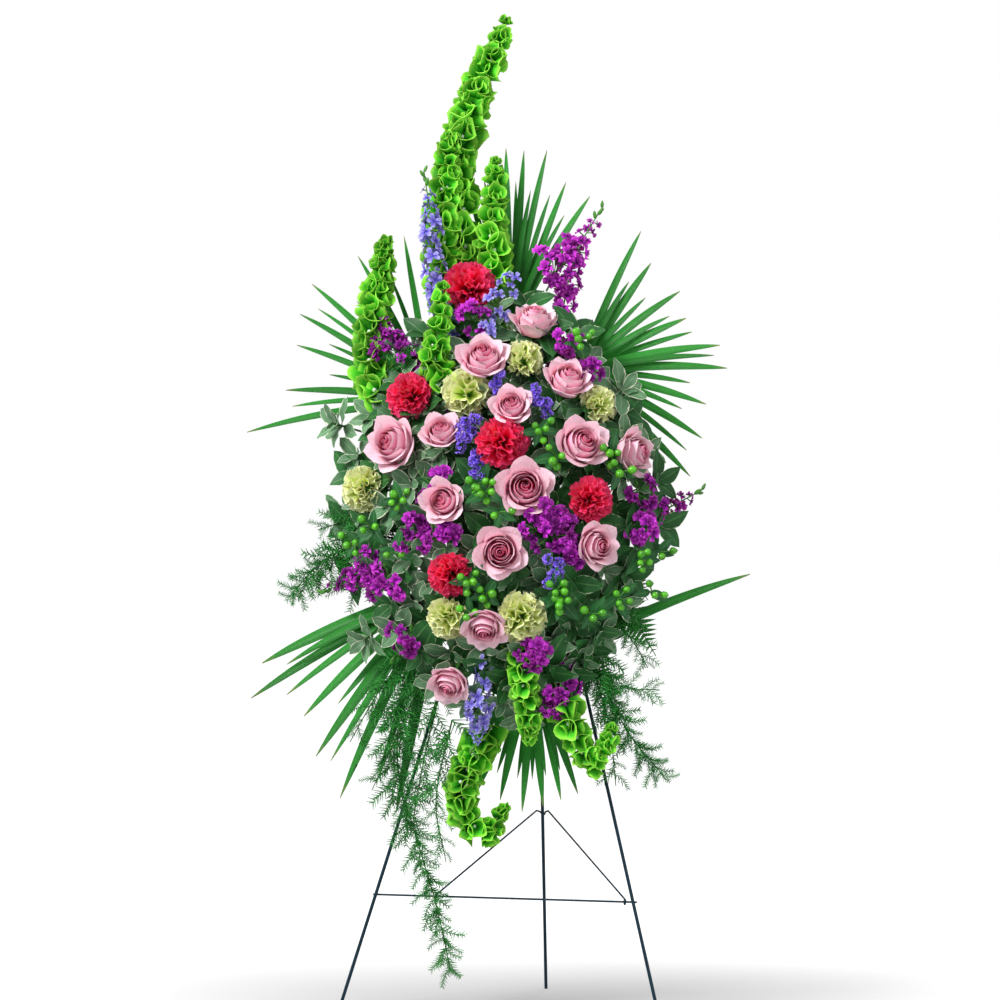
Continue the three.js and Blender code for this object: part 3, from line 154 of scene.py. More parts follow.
def seen(column, row, back):
    """Where the picture's column and row meet the upright plane that far back."""
    across, down = column - CENTRE_COLUMN, row - HORIZON_ROW
    right = (cos(ROLL) * across + sin(ROLL) * down) / FOCAL
    drop = (cos(ROLL) * down - sin(ROLL) * across) / FOCAL
    ray = Vector((right * cos(TURN) - sin(TURN), right * sin(TURN) + cos(TURN), -drop))
    return EYE + ray * ((back - EYE.y) / ray.y)


def on_dome(column, row, proud=0):
    """Where the picture's column and row meet the dome of flowers, moved forward by proud."""
    point = seen(column, row, 0)
    for _ in range(6):
        across, high = point.x / DOME_HALF[0], (point.z - DOME_HEIGHT) / DOME_HALF[1]
        forward = DOME_RIM + DOME_SWELL * sqrt(max(0, 1 - across ** 2 - high ** 2)) + proud * MM
        point = seen(column, row, easel_back(point.z) - forward)
    return point


def spot(column, row, forward):
    """Where the picture's column and row meet the plane that far forward of the easel's."""
    point = seen(column, row, 0)
    for _ in range(4):
        point = seen(column, row, easel_back(min(point.z, APEX_HEIGHT)) - forward * MM)
    return point


def facing(turn, lift):
    """The way a bloom faces: towards the viewer, turned to the right and lifted, in degrees."""
    heading, rise = TURN + radians(turn), radians(lift)
    return Vector((sin(heading) * cos(rise), -cos(heading) * cos(rise), sin(rise)))


def frames_along(points, side=(0.31, 0.17, 0.93)):
    """Along, across and face directions at each point, carried along the line without twist."""
    across = Vector(side)
    last = len(points) - 1
    frames = []
    for i in range(last + 1):
        along = (points[min(i + 1, last)] - points[max(i - 1, 0)]).normalized()
        across = (across - along * across.dot(along)).normalized()
        frames.append((along, across, along.cross(across)))
    return frames


def curve(a, b, c, d, t):
    """A value on the smooth curve from b to c that a and d lead into and out of."""
    return (
        b + (c - a) * (t / 2)
        + (a * 2 - b * 5 + c * 4 - d) * (t * t / 2)
        + (b * 3 - a - c * 3 + d) * (t * t * t / 2)
    )


def smooth(points, steps):
    """Evenly spaced points on a smooth curve through the given ones."""
    ends = [points[0] * 2 - points[1], *points, points[-1] * 2 - points[-2]]
    dense = [curve(*ends[i:i + 4], k / 12) for i in range(len(points) - 1) for k in range(12)]
    dense.append(points[-1].copy())
    lengths = [0.0]
    for first, second in zip(dense, dense[1:]):
        lengths.append(lengths[-1] + (second - first).length)
    spaced, at = [], 0
    for k in range(steps + 1):
        goal = lengths[-1] * k / steps
        while at < len(dense) - 2 and lengths[at + 1] < goal:
            at += 1
        share = (goal - lengths[at]) / max(1e-9, lengths[at + 1] - lengths[at])
        spaced.append(mix(dense[at], dense[at + 1], min(1, max(0, share))))
    return spaced


def through(profile, share):
    """The point at a share of the way along a profile of pairs."""
    last = len(profile) - 1
    at = min(last - 1, int(share * last))
    near = [profile[min(last, max(0, at + k))] for k in (-1, 0, 1, 2)]
    return [curve(*values, share * last - at) for values in zip(*near)]


def aim(root, along, face, size):
    """Places a shape: its Z goes along, its Y as near as can be to face, scaled by size."""
    z = along.normalized()
    y = face - z * face.dot(z)
    if y.length < 1e-6:
        y = z.orthogonal()
    y.normalize()
    sizes = size if isinstance(size, tuple) else (size, size, size)
    turned = Matrix((y.cross(z) * sizes[0], y * sizes[1], z * sizes[2])).transposed().to_4x4()
    return Matrix.Translation(root) @ turned


# Shapes. Each is a small closed mesh that stands on the origin and reaches up along Z.


def new_form():
    """An empty form with room for the picture coordinates, tone and depth that the looks read; the depth
    deepens a petal's colour towards its root, partly its own colour and partly painted shade.
    """
    form = bmesh.new()
    form.loops.layers.uv.new("UVMap")
    form.verts.layers.float.new("tone")
    form.verts.layers.float.new("depth")
    return form


def settled(form, name="shape"):
    """The mesh of a form that is done."""
    mesh = bpy.data.meshes.new(name)
    form.to_mesh(mesh)
    form.free()
    return mesh


def fading(u, v):
    """The depth of a plain petal: deep at its root and none at its rim, where the deeper colour is partly the
    petal's own and partly painted shade.
    """
    return 1 - v


def sheet(across, along, place, depth=fading, thick=0.0, loop=False, mat=0):
    """A grid moved by place(u, v), u from -1 to 1 and v from 0 to 1. It gets a thickness, or it
    is closed round with its ends filled."""
    form = new_form()
    layer = form.verts.layers.float["depth"]
    grid = bmesh.ops.create_grid(form, x_segments=across, y_segments=along, size=1, calc_uvs=True)
    for vert in grid["verts"]:
        u, v = vert.co.x, (vert.co.y + 1) / 2
        vert.co = place(u, v)
        vert[layer] = depth(u, v)
    if loop:
        bmesh.ops.remove_doubles(form, verts=form.verts[:], dist=1e-7)
        bmesh.ops.recalc_face_normals(form, faces=form.faces[:])
    if thick:
        bmesh.ops.solidify(form, geom=form.faces[:], thickness=thick)
    else:
        edges = [edge for edge in form.edges if edge.is_boundary]
        bmesh.ops.holes_fill(form, edges=edges, sides=0)
    bmesh.ops.recalc_face_normals(form, faces=form.faces[:])
    for face in form.faces:
        face.material_index = mat
        face.smooth = True
    return settled(form)


def turned(profile, sides, mat=0):
    """A closed round body: profile holds (radius, height) from bottom to top."""
    last = len(profile) - 1

    def place(u, v):
        radius, height = profile[round(v * last)]
        return Vector((radius * cos(pi * u), radius * sin(pi * u), height))

    return sheet(sides, last, place, loop=True, mat=mat)


def stamp(form, shape, matrix, tone=0.5):
    """Adds a copy of a shape to a form."""
    copy = shape.copy()
    copy.transform(matrix)
    copy.attributes["tone"].data.foreach_set("value", [tone] * len(copy.vertices))
    form.from_mesh(copy)
    bpy.data.meshes.remove(copy)


def add(form, shape, tone=0.5, matrix=Matrix.Identity(4)):
    """Adds a shape to a form once and lets it go."""
    stamp(form, shape, matrix, tone)
    bpy.data.meshes.remove(shape)


def tube(form, points, radius, end, sides, mat=0):
    """Adds a closed round stem or wire through the points."""
    frames = frames_along(points)
    last = len(points) - 1

    def place(u, v):
        at = round(v * last)
        _, across, face = frames[at]
        return points[at] + swing(across, face, pi * u) * mix(radius, end, v)

    add(form, sheet(sides, last, place, loop=True, mat=mat))


def leaf_shape(width, fold=0.2, curl=0.2, wave=0.0, point=0.8, along=8, mat=0, thick=0.012):
    """A leaf one unit long, folded along its middle, curled back and waved at its edge."""

    def place(u, v):
        half = width / 2 * max(0.06, sin(pi * v ** point) ** 0.75)
        ripple = wave * sin(v * 14 + (2 if u > 0 else 0)) * u * u
        return Vector((u * half, -curl * v * v + fold * abs(u) * half + ripple, v * (1 - 0.03 * u * u)))

    return sheet(2, along, place, thick=thick, mat=mat)


# Looks. A group turns places, tones and depths into colours and heights; the materials use them. A petal's
# depth darkens it towards its root: partly its own colour, partly painted shade in the bloom's recesses.


class Net:
    """A node tree filled in from left to right."""

    def __init__(self, tree):
        self.tree = tree

    def feed(self, socket, value):
        """Links a socket to another, or gives it a value of its own."""
        if isinstance(value, bpy.types.NodeSocket):
            self.tree.links.new(value, socket)
        else:
            socket.default_value = value

    def add(self, kind, settings=None, **values):
        """Adds a node and feeds its inputs, by name or by number as i0, i1 and so on."""
        node = self.tree.nodes.new(f"ShaderNode{kind}")
        for key, value in (settings or {}).items():
            setattr(node, key, value)
        for key, value in values.items():
            self.feed(node.inputs[int(key[1:]) if key[1:].isdigit() else key], value)
        return node

    def math(self, operation, first, second=0.0):
        return self.add("Math", {"operation": operation}, i0=first, i1=second).outputs[0]

    def blend(self, share, first, second):
        return self.add("Mix", {"data_type": "RGBA"}, i0=share, i6=first, i7=second).outputs[2]

    def ramp(self, value, low, high):
        settings = {"interpolation_type": "SMOOTHSTEP"}
        return self.add("MapRange", settings, i0=value, i1=low, i2=high).outputs[0]

    def attribute(self, name):
        return self.add("Attribute", {"attribute_name": name}).outputs["Fac"]

    def place(self):
        return self.add("TexCoord").outputs["Object"]

    def noise(self, scale, detail=2.0):
        return self.add("TexNoise", Vector=self.place(), Scale=scale, Detail=detail).outputs["Fac"]

    def picture(self):
        """Where a point lies across and along its leaf or petal."""
        place = self.add("UVMap", {"uv_map": "UVMap"}).outputs[0]
        parts = self.add("SeparateXYZ", Vector=place)
        return parts.outputs[0], parts.outputs[1]

    def from_middle(self, u):
        """How far a point lies from its leaf's middle line."""
        return self.math("ABSOLUTE", self.math("SUBTRACT", self.math("MULTIPLY", u, 2.0), 1.0))


def varied(net, colour, amount):
    """A colour made lighter or darker by the tone of each leaf or petal and by a soft mottle."""
    spread = net.math("SUBTRACT", net.attribute("tone"), 0.5)
    patch = net.math("SUBTRACT", net.noise(90.0), 0.5)
    both = net.math("ADD", spread, net.math("MULTIPLY", patch, 0.6))
    light = net.math("ADD", net.math("MULTIPLY", both, net.math("MULTIPLY", amount, 2.0)), 1.0)
    return net.add("HueSaturation", Value=light, Color=colour).outputs[0]


def petal_colours(net, given):
    # Pale at the rim, through Middle, to Deep at the root: partly the petal's own colour and partly painted
    # shade where the petals crowd together.
    depth = net.attribute("depth")
    near = net.blend(net.ramp(depth, 0.0, 0.5), given["Pale"], given["Middle"])
    colour = net.blend(net.ramp(depth, 0.45, 1.0), near, given["Deep And Shade"])
    streak = net.math("SINE", net.math("MULTIPLY", net.picture()[0], given["Streaks"]))
    lined = net.blend(net.math("MULTIPLY", net.ramp(streak, 0.5, 1.0), 0.12), colour, given["Middle"])
    return varied(net, lined, given["Variation"]), streak


def leaf_colours(net, given):
    u, v = net.picture()
    side = net.from_middle(u)
    rib = net.math("SUBTRACT", 1.0, net.ramp(side, 0.02, 0.14))
    slant = net.math("SUBTRACT", net.math("MULTIPLY", v, given["Veins"]), net.math("MULTIPLY", side, 5.0))
    veins = net.ramp(net.math("SINE", net.math("MULTIPLY", slant, 6.283)), 0.75, 1.0)
    lines = net.math("MAXIMUM", rib, net.math("MULTIPLY", veins, 0.45))
    base = net.blend(net.noise(60.0), given["Dark"], given["Light"])
    veined = net.blend(net.math("MULTIPLY", lines, given["Vein Share"]), base, given["Vein"])
    wander = net.math("MULTIPLY", net.math("SUBTRACT", net.noise(140.0), 0.5), 0.5)
    start = net.math("SUBTRACT", 1.0, given["Edge Width"])
    edge = net.ramp(net.math("ADD", side, wander), start, net.math("ADD", start, 0.08))
    rimmed = net.blend(net.math("MULTIPLY", edge, given["Edge Share"]), veined, given["Edge"])
    return varied(net, rimmed, given["Variation"]), net.math("MULTIPLY", lines, -1.0)


def blade_colours(net, given):
    u, v = net.picture()
    ribs = net.math("SINE", net.math("MULTIPLY", u, given["Ribs"]))
    base = net.blend(net.ramp(ribs, -1.0, 1.0), given["Dark"], given["Light"])
    rib = net.math("SUBTRACT", 1.0, net.ramp(net.from_middle(u), 0.0, 0.12))
    ribbed = net.blend(net.math("MULTIPLY", rib, 0.5), base, given["Light"])
    tip = net.ramp(net.math("SUBTRACT", v, net.math("MULTIPLY", net.noise(120.0), 0.1)), 0.86, 0.97)
    tipped = net.blend(net.math("MULTIPLY", tip, 0.7), ribbed, given["Tip"])
    return varied(net, tipped, given["Variation"]), ribs


def coated_surface(net, given):
    cloud = net.noise(35.0, 4.0)
    worn = net.math("MULTIPLY", net.ramp(net.noise(420.0, 6.0), 0.62, 0.7), given["Wear"])
    base = net.blend(cloud, given["Dark"], given["Light"])
    rough = net.math("ADD", given["Roughness"], net.math("MULTIPLY", cloud, 0.16))
    return net.blend(worn, base, given["Under"]), cloud, rough


def foam_cells(net, given):
    cells = net.add("TexVoronoi", Vector=net.place(), Scale=900.0).outputs["Distance"]
    return net.blend(net.noise(220.0, 5.0), given["Dark"], given["Light"]), cells


WHITE = (1, 1, 1, 1)
GREEN = (0.1, 0.3, 0.1, 1)
GREY = (0.1, 0.1, 0.1, 1)
GROUPS = {
    "petal colours": (petal_colours, {
        "Pale": WHITE, "Middle": WHITE, "Deep And Shade": WHITE, "Streaks": 70.0, "Variation": 0.12,
    }),
    "leaf colours": (leaf_colours, {
        "Dark": GREEN, "Light": GREEN, "Vein": GREEN, "Edge": GREEN, "Vein Share": 0.4,
        "Edge Share": 0.0, "Edge Width": 0.2, "Veins": 7.0, "Variation": 0.2,
    }),
    "blade colours": (blade_colours, {
        "Dark": GREEN, "Light": GREEN, "Tip": GREEN, "Ribs": 90.0, "Variation": 0.2,
    }),
    "coated surface": (coated_surface, {
        "Dark": GREY, "Light": GREY, "Under": GREY, "Wear": 0.2, "Roughness": 0.3,
    }),
    "foam cells": (foam_cells, {"Dark": GREEN, "Light": GREEN}),
}


def group(name):
    """A shader node group with named sockets, made the first time that it is asked for."""
    if name in bpy.data.node_groups:
        return bpy.data.node_groups[name]
    fill, inputs = GROUPS[name]
    tree = bpy.data.node_groups.new(name, "ShaderNodeTree")
    for title, default in inputs.items():
        kind = "NodeSocketFloat" if isinstance(default, float) else "NodeSocketColor"
        tree.interface.new_socket(title, in_out="INPUT", socket_type=kind).default_value = default
    titles = ("Color", "Height", "Roughness") if "Roughness" in inputs else ("Color", "Height")
    for title in titles:
        kind = "NodeSocketColor" if title == "Color" else "NodeSocketFloat"
        tree.interface.new_socket(title, in_out="OUTPUT", socket_type=kind)
    results = fill(Net(tree), tree.nodes.new("NodeGroupInput").outputs)
    leave = tree.nodes.new("NodeGroupOutput")
    for title, result in zip(titles, results):
        tree.links.new(result, leave.inputs[title])
    return tree


def rgb(code):
    """A colour from its six hex digits, in linear light."""
    parts = [int(code[i:i + 2], 16) / 255 for i in (0, 2, 4)]
    return tuple(p / 12.92 if p <= 0.04045 else ((p + 0.055) / 1.055) ** 2.4 for p in parts) + (1.0,)


SOFT = {"Roughness": 0.6, "Subsurface Weight": 0.12, "Subsurface Scale": 0.003, "Specular IOR Level": 0.15}
WAXY = {"Roughness": 0.4, "Specular IOR Level": 0.32}
GLOSSY = {"Roughness": 0.25, "Coat Weight": 0.3}
PETAL_INPUTS = ("Pale", "Middle", "Deep And Shade", "Streaks", "Variation")
# Each petal finish's Deep colour at the root is partly painted shade: in a rose's valleys, inside the bell
# cups and between the stock's petals.
PETALS = {
    "rose_petal": ("ffd8e4", "fc98ba", "da2462", 60.0, 0.07),
    "red_petal": ("ff4a82", "ff1c52", "b8023c", 40.0, 0.14),
    "cream_petal": ("fbfdc8", "e6f390", "98cc38", 40.0, 0.08),
    "bell_calyx": ("9ce84e", "4fbe26", "1d8a12", 60.0, 0.4),
    "stock_petal": ("d040cc", "9a1ca0", "3e084c", 40.0, 0.5),
    "larkspur_petal": ("b7b0f5", "8276dc", "4d3db4", 40.0, 0.16),
    "statice_floret": ("ac8ef8", "7a52ea", "3c22ae", 30.0, 0.3),
    "floret_white": ("fbfaf2", "f2f0dc", "d9dba6", 30.0, 0.05),
}
LEAF_INPUTS = ("Dark", "Light", "Vein", "Edge", "Vein Share", "Edge Share", "Edge Width")
LEAVES = {
    "stem_green": ("1c4a16", "357326", "5b9444", "4d8638", 0.0),
    "berry_leaf": ("17492a", "2f7a3a", "76b068", "3f8f45"),
    "rose_leaf": ("0d2c12", "1d5220", "4c8440", "6f9a5e", 0.4, 0.3),
    "calyx_green": ("2f7424", "5da03a", "84b564", "6aa04a"),
    "berry": ("2c9410", "6fd022", "86c23c", "86c23c", 0.0),
    "berry_tip": ("2a2413", "4c421f", "4c421f", "4c421f", 0.0),
    "pittosporum_leaf": ("35693f", "82ad82", "aac9a2", "f4f6dc", 0.4, 0.85, 0.16),
    "salal_leaf": ("123f1c", "377c3c", "6ea75f", "c4dbb0", 0.4, 0.75, 0.07),
    "leatherleaf_leaf": ("11491a", "2b8229", "4f9a45", "2c7a2e"),
    "fern_needle": ("1a6b28", "44a844", "55973f", "55973f", 0.0),
}
COAT_INPUTS = ("Dark", "Light", "Under", "Wear", "Roughness")
COATS = {
    "wire": (("08202e", "12394a", "6f7470", 0.25, 0.28), {"Metallic": 0.2, "Specular IOR Level": 0.3}, 0.05),
    "tie": (("1d4a27", "2b6b38", "9aa09a", 0.3, 0.35), {"Metallic": 0.3}, 0.05),
    "tray": (("17452a", "1f5a36", "2c6c45", 0.3, 0.4), {}, 0.08),
}
# Each finish: its group, what that is fed, the surface's own settings and the strength of its relief.
FINISHES = {
    "palm_leaf": ("blade colours", {"Dark": "166a20", "Light": "3fae3c", "Tip": "8f8a48"}, WAXY, 0.35),
    "foam": ("foam cells", {"Dark": "1f5a31", "Light": "357d49"}, {"Roughness": 0.95}, 0.6),
}
for finish, row in PETALS.items():
    FINISHES[finish] = ("petal colours", dict(zip(PETAL_INPUTS, row)), SOFT, 0.12)
for finish, row in LEAVES.items():
    shine = GLOSSY if finish == "berry" else WAXY
    FINISHES[finish] = ("leaf colours", dict(zip(LEAF_INPUTS, row)), shine, 0.25)
for finish, (row, shine, relief) in COATS.items():
    FINISHES[finish] = ("coated surface", dict(zip(COAT_INPUTS, row)), shine, relief)


def main_input(name):
    """The input of a finish's group that holds its main colour."""
    return "Middle" if name in PETALS else "Light"


def material(name):
    """The named material, made the first time that it is asked for."""
    title = f"{name}_look"
    if title in bpy.data.materials:
        return bpy.data.materials[title]
    kind, values, settings, bump = FINISHES[name]
    made = bpy.data.materials.new(title)
    made.use_nodes = True
    net = Net(made.node_tree)
    surface = made.node_tree.nodes["Principled BSDF"]
    source = net.add("Group", {"node_tree": group(kind)})
    for key, value in values.items():
        net.feed(source.inputs[key], rgb(value) if isinstance(value, str) else value)
    chosen = getattr(bpy.context.scene.spray_colours, name)
    source.inputs[main_input(name)].default_value = (*chosen, 1)
    for key, value in settings.items():
        surface.inputs[key].default_value = value
    net.feed(surface.inputs["Base Color"], source.outputs["Color"])
    if "Roughness" in source.outputs:
        net.feed(surface.inputs["Roughness"], source.outputs["Roughness"])
    raised = net.add("Bump", Strength=bump, Distance=0.001, Height=source.outputs["Height"])
    net.feed(surface.inputs["Normal"], raised.outputs[0])
    return made


def piece(name, form, materials, node=None, body="spray", sharp=55):
    """Turns a form into a finished piece of the model that rides on a body."""
    mesh = settled(form, name)
    mesh.transform(Matrix.Translation(SHIFT))
    for entry in materials:
        mesh.materials.append(material(entry))
    mesh.shade_smooth()
    mesh.set_sharp_from_angle(angle=radians(sharp))
    obj = bpy.data.objects.new(name, mesh)
    bpy.context.scene.collection.objects.link(obj)
    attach(obj, body)
    if node:
        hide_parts(node)


# Stems in the foam, and pieces that grow from them.


def rooted(node, face):
    """The inner end of a node's stem in the foam, and its point just outside."""
    margin = 0.001
    inside = []
    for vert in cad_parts[node].data.vertices:
        point = vert.co - SHIFT
        along = abs(point.dot(LEG_UP) - FOAM_MIDDLE)
        deep = point.dot(LEG_FRONT) - FOAM_BACK
        level = abs(point.x) < FOAM_HALF[0] - margin and along < FOAM_HALF[1] - margin
        if level and margin < deep < FOAM_DEEP - margin:
            inside.append(point)
    inner = sum(inside, Vector()) / len(inside)
    return inner, inner + FACES[face] * STEM_BURIED


def in_front(bend):
    """A bend in a stem, brought forward where it would meet the foam."""
    short = FOAM_FRONT + FOAM_CLEARANCE - bend.dot(LEG_FRONT)
    if short > 0 and bend.dot(LEG_UP) < FOAM_MIDDLE + FOAM_HALF[1] + FOAM_CLEARANCE:
        return bend + LEG_FRONT * short
    return bend


class Growth:
    """A piece while it grows: its form, its draws, and the stem that leaves the foam and forks."""

    STATIONS = 60

    def __init__(self, draw, node=None, face="front", out=0.006):
        self.form = new_form()
        self.draw = draw
        if node:
            self.inner, self.outer = rooted(node, face)
            self.fork = self.outer + FACES[face] * out

    def stamp(self, shape, root, along, face, size, tone=None):
        """Adds a copy of a shape with a tone of its own."""
        place = aim(root, along, face, size)
        stamp(self.form, shape, place, self.draw.random() if tone is None else tone)

    def tube(self, points, radius, end, sides=5):
        """Adds a green stem."""
        tube(self.form, points, radius, end, sides, 1)

    def stem_to(self, base, axis, radius, share=0.7):
        """Adds a stem that leaves the foam and reaches a bloom's base along the bloom's axis."""
        behind = base - axis * min(0.45 * (base - self.fork).length, STEM_BEND)
        bend = in_front(mix(self.fork, behind, share))
        points = smooth([self.fork, bend, base + axis * 0.004], 10)
        self.tube([self.inner, *points], radius, radius, 6)

    def run(self, path):
        """The line of a spike from its tip to its fork, its directions and its length."""
        line = smooth([*(spot(*place) for place in path), self.fork], self.STATIONS)
        length = sum((second - first).length for first, second in zip(line, line[1:]))
        return line, frames_along(line), length

    def spike_stem(self, line, radius):
        """Adds the stem of a spike down to its hole in the foam."""
        self.tube([*line[::3], self.inner], radius * 0.45, radius, 6)

    def rosette(self, leaf, centre, axis, count, length):
        """Adds leaves that open round a twig's end."""
        for k in range(count):
            opened = mix(0.5, 1.45, (k + 0.5) / count)
            way = ringed(axis, k * GOLDEN) * sin(opened) + axis * cos(opened)
            size = length * mix(0.72, 1.0, min(1, k / 4)) * self.draw.uniform(0.88, 1.08)
            self.stamp(leaf, centre - axis * 0.0018 * k, way, axis, size)

    def finish(self, name, materials, node=None, sharp=55):
        """Makes the form a piece, and starts another."""
        piece(name, self.form, materials, node, sharp=sharp)
        self.form = new_form()


# Blooms: each has its column, row, how proud of the dome it is, its width, and how it is turned
# and lifted.

ROSES = (
    (535, 313, -10, 62, 12, 62), (483, 352, 8, 66, 0, 38), (570, 373, 4, 62, 15, 42),
    (511, 402, 12, 54, -5, 25), (440, 427, 2, 54, -10, 35), (387, 442, 8, 72, -35, 10),
    (585, 440, 10, 68, 20, 20), (641, 452, 4, 62, 55, 5), (525, 486, 14, 72, 0, 10),
    (440, 500, 6, 58, -20, 8), (500, 552, 16, 66, 0, 0), (601, 546, 4, 58, 30, 0),
    (484, 632, 10, 58, -5, -35), (447, 688, 6, 54, -20, -35),
)
RED_CARNATIONS = (
    (469, 279, 6, 75, 0, 22), (403, 391, 8, 68, -25, 15), (504, 440, 14, 74, 5, 5),
    (596, 498, 8, 64, 20, 5), (446, 577, 8, 62, -15, -10),
)
CREAM_CARNATIONS = {
    "upper": ((464, 384, -2, 70, -10, 25), (526, 351, -14, 56, 10, 35)),
    "right": ((605, 398, -8, 54, 30, 25),),
    "left": ((352, 489, 4, 66, -40, 0),),
    "low": ((443, 622, -4, 60, -20, -15), (523, 622, 6, 72, 5, -12)),
}
ROSE_TALL = 1.45

# Layers of petals from outside: how many, each one's half width as a share of its turn, where the
# petal's radius and height go, how much its edge rolls out, its point, how far one edge is tucked
# in, how round its rim is, and how deep its colour is at the rim and how fast it deepens below;
# the deeper colour is partly the rose's own and partly painted shade in the valleys between petals.
ROSE_LAYERS = (
    (5, 0.66, ((0.10, -0.06), (0.60, 0.12), (0.80, 0.40), (0.86, 0.64), (0.97, 0.72)),
     0.22, 0.34, 0.04, 0.34, -0.2, 0.85),
    (5, 0.62, ((0.10, 0.00), (0.56, 0.18), (0.72, 0.50), (0.71, 0.82), (0.77, 0.96)),
     0.20, 0.28, 0.05, 0.32, -0.16, 0.9),
    (3, 0.72, ((0.08, 0.05), (0.48, 0.28), (0.62, 0.66), (0.55, 1.00), (0.49, 1.16)),
     0.12, 0.16, 0.09, 0.24, -0.1, 1.0),
    (3, 0.74, ((0.06, 0.10), (0.38, 0.38), (0.47, 0.80), (0.40, 1.14), (0.34, 1.27)),
     0.07, 0.08, 0.11, 0.18, 0.0, 1.4),
    (3, 0.78, ((0.05, 0.15), (0.28, 0.50), (0.34, 0.90), (0.27, 1.22), (0.22, 1.34)),
     0.04, 0.04, 0.12, 0.14, 0.15, 1.8),
    (2, 0.84, ((0.03, 0.20), (0.17, 0.60), (0.21, 1.00), (0.15, 1.28), (0.12, 1.39)),
     0.02, 0.0, 0.16, 0.12, 0.3, 2.2),
    (2, 0.92, ((0.02, 0.30), (0.07, 0.70), (0.10, 1.05), (0.06, 1.30), (0.04, 1.41)),
     0.0, 0.0, 0.2, 0.12, 0.42, 2.4),
)


def rose_petal(layer, phase):
    """A petal that wraps round the rose's axis, its rim rolled out and pointed."""
    count, wide, profile, roll, point, tuck, rounded, colour, deepening_and_shade = layer
    half = pi / count * 2 * wide

    def place(u, v):
        reach = v * (1 - rounded * abs(u) ** 2.2)
        radius, height = through(profile, reach)
        edge = max(0, reach - 0.5) ** 2 * 4
        out = roll * edge * (0.35 + 1.0 * u * u) * (1 + 0.3 * sin(4 * u + phase))
        tip = point * (1 - abs(u)) ** 1.3
        radius = radius * (1 + tuck * u) + out + tip * 0.6 * v ** 8
        height += tip * v ** 6 - out * 0.7 + 0.014 * sin(7 * u + phase) * v * v
        return Vector((radius * cos(u * half), radius * sin(u * half), height))

    # Deeper below the rim: partly the rose's own colour, partly painted shade in the valleys between the
    # petals.
    def depth(u, v):
        return min(1, max(0, colour + deepening_and_shade * (1 - v) + 0.05 * sin(3 * u + phase)))

    return sheet(8, 8, place, depth, 0.018)


def rose_shapes():
    """Two forms of each layer's petal, a sepal, the cup that holds them and a leaf."""
    layers = [[rose_petal(layer, phase) for phase in (0.4, 2.6)] for layer in ROSE_LAYERS]
    sepal = leaf_shape(0.26, 0.3, 0.35, point=0.6, along=5, mat=1, thick=0.02)
    cup = turned(((0.05, -0.34), (0.16, -0.3), (0.24, -0.16), (0.22, -0.02), (0.3, 0.08)), 10, 1)
    return layers, sepal, cup, leaf_shape(0.62, 0.25, 0.25, 0.02, 0.75, mat=2)


def make_rose(index, shapes, fullness):
    """One rose on its stem."""
    layers, sepal, cup, leaf = shapes
    column, row, proud, size, turn, lift = ROSES[index]
    name = f"rose_{index + 1}"
    draw = Random(11 + index)
    rose = Growth(draw, name, out=0)
    radius = size * MM / 2
    axis = facing(turn, lift)
    base = on_dome(column, row, proud) - axis * radius * ROSE_TALL * 0.75
    for (count, *_), forms in zip(ROSE_LAYERS, layers):
        start = draw.random() * tau
        for k in range(count):
            side = ringed(axis, start + tau * k / count + draw.uniform(-0.08, 0.08))
            lean = axis + side * draw.uniform(-0.03, 0.05)
            wide = radius * fullness * draw.uniform(0.97, 1.04)
            tall = radius * draw.uniform(0.97, 1.03)
            rose.stamp(draw.choice(forms), base, lean, side, (wide, wide, tall))
    rose.stamp(cup, base, axis, UP, radius, 0.5)
    for k in range(5):
        out = ringed(axis, tau * k / 5)
        root = base + axis * radius * 0.02 + out * radius * 0.2
        rose.stamp(sepal, root, out - axis * 0.25, -axis, radius * 0.8)
    rose.stem_to(base - axis * radius * 0.3, axis, 0.0026, 0.75)
    for k in range(3):
        out = ringed(axis, draw.random() * tau)
        root = base - axis * (0.02 + 0.012 * k)
        rose.stamp(leaf, root, out + axis * 0.3, axis, draw.uniform(0.032, 0.042))
    rose.finish(f"{name}_bloom", ("rose_petal", "stem_green", "rose_leaf"), name)


def carnation_shapes(teeth, across):
    """Frilled petals with a toothed rim, and the tube that holds them."""

    def petal(waves, phase):
        def place(u, v):
            odd = round((u + 1) / 2 * across) % 2
            cut = teeth * (1 if odd else -1) if v > 0.99 else 0
            wave = 0.15 * v ** 1.6 * sin(waves * pi * u + phase)
            return Vector((u * 0.40 * (0.1 + 0.9 * v ** 1.2), wave, v * (1 - 0.13 * u * u) + cut))

        return sheet(across, 4, place, lambda u, v: min(1, 1.25 * (1 - v)), 0.014)

    petals = [petal(*wave) for wave in ((1.6, 0.3), (2.2, 1.7), (1.3, 2.9), (2.7, 4.1))]
    return petals, turned(((0.1, -0.72), (0.2, -0.66), (0.24, -0.4), (0.27, -0.12), (0.34, 0.02)), 10, 1)


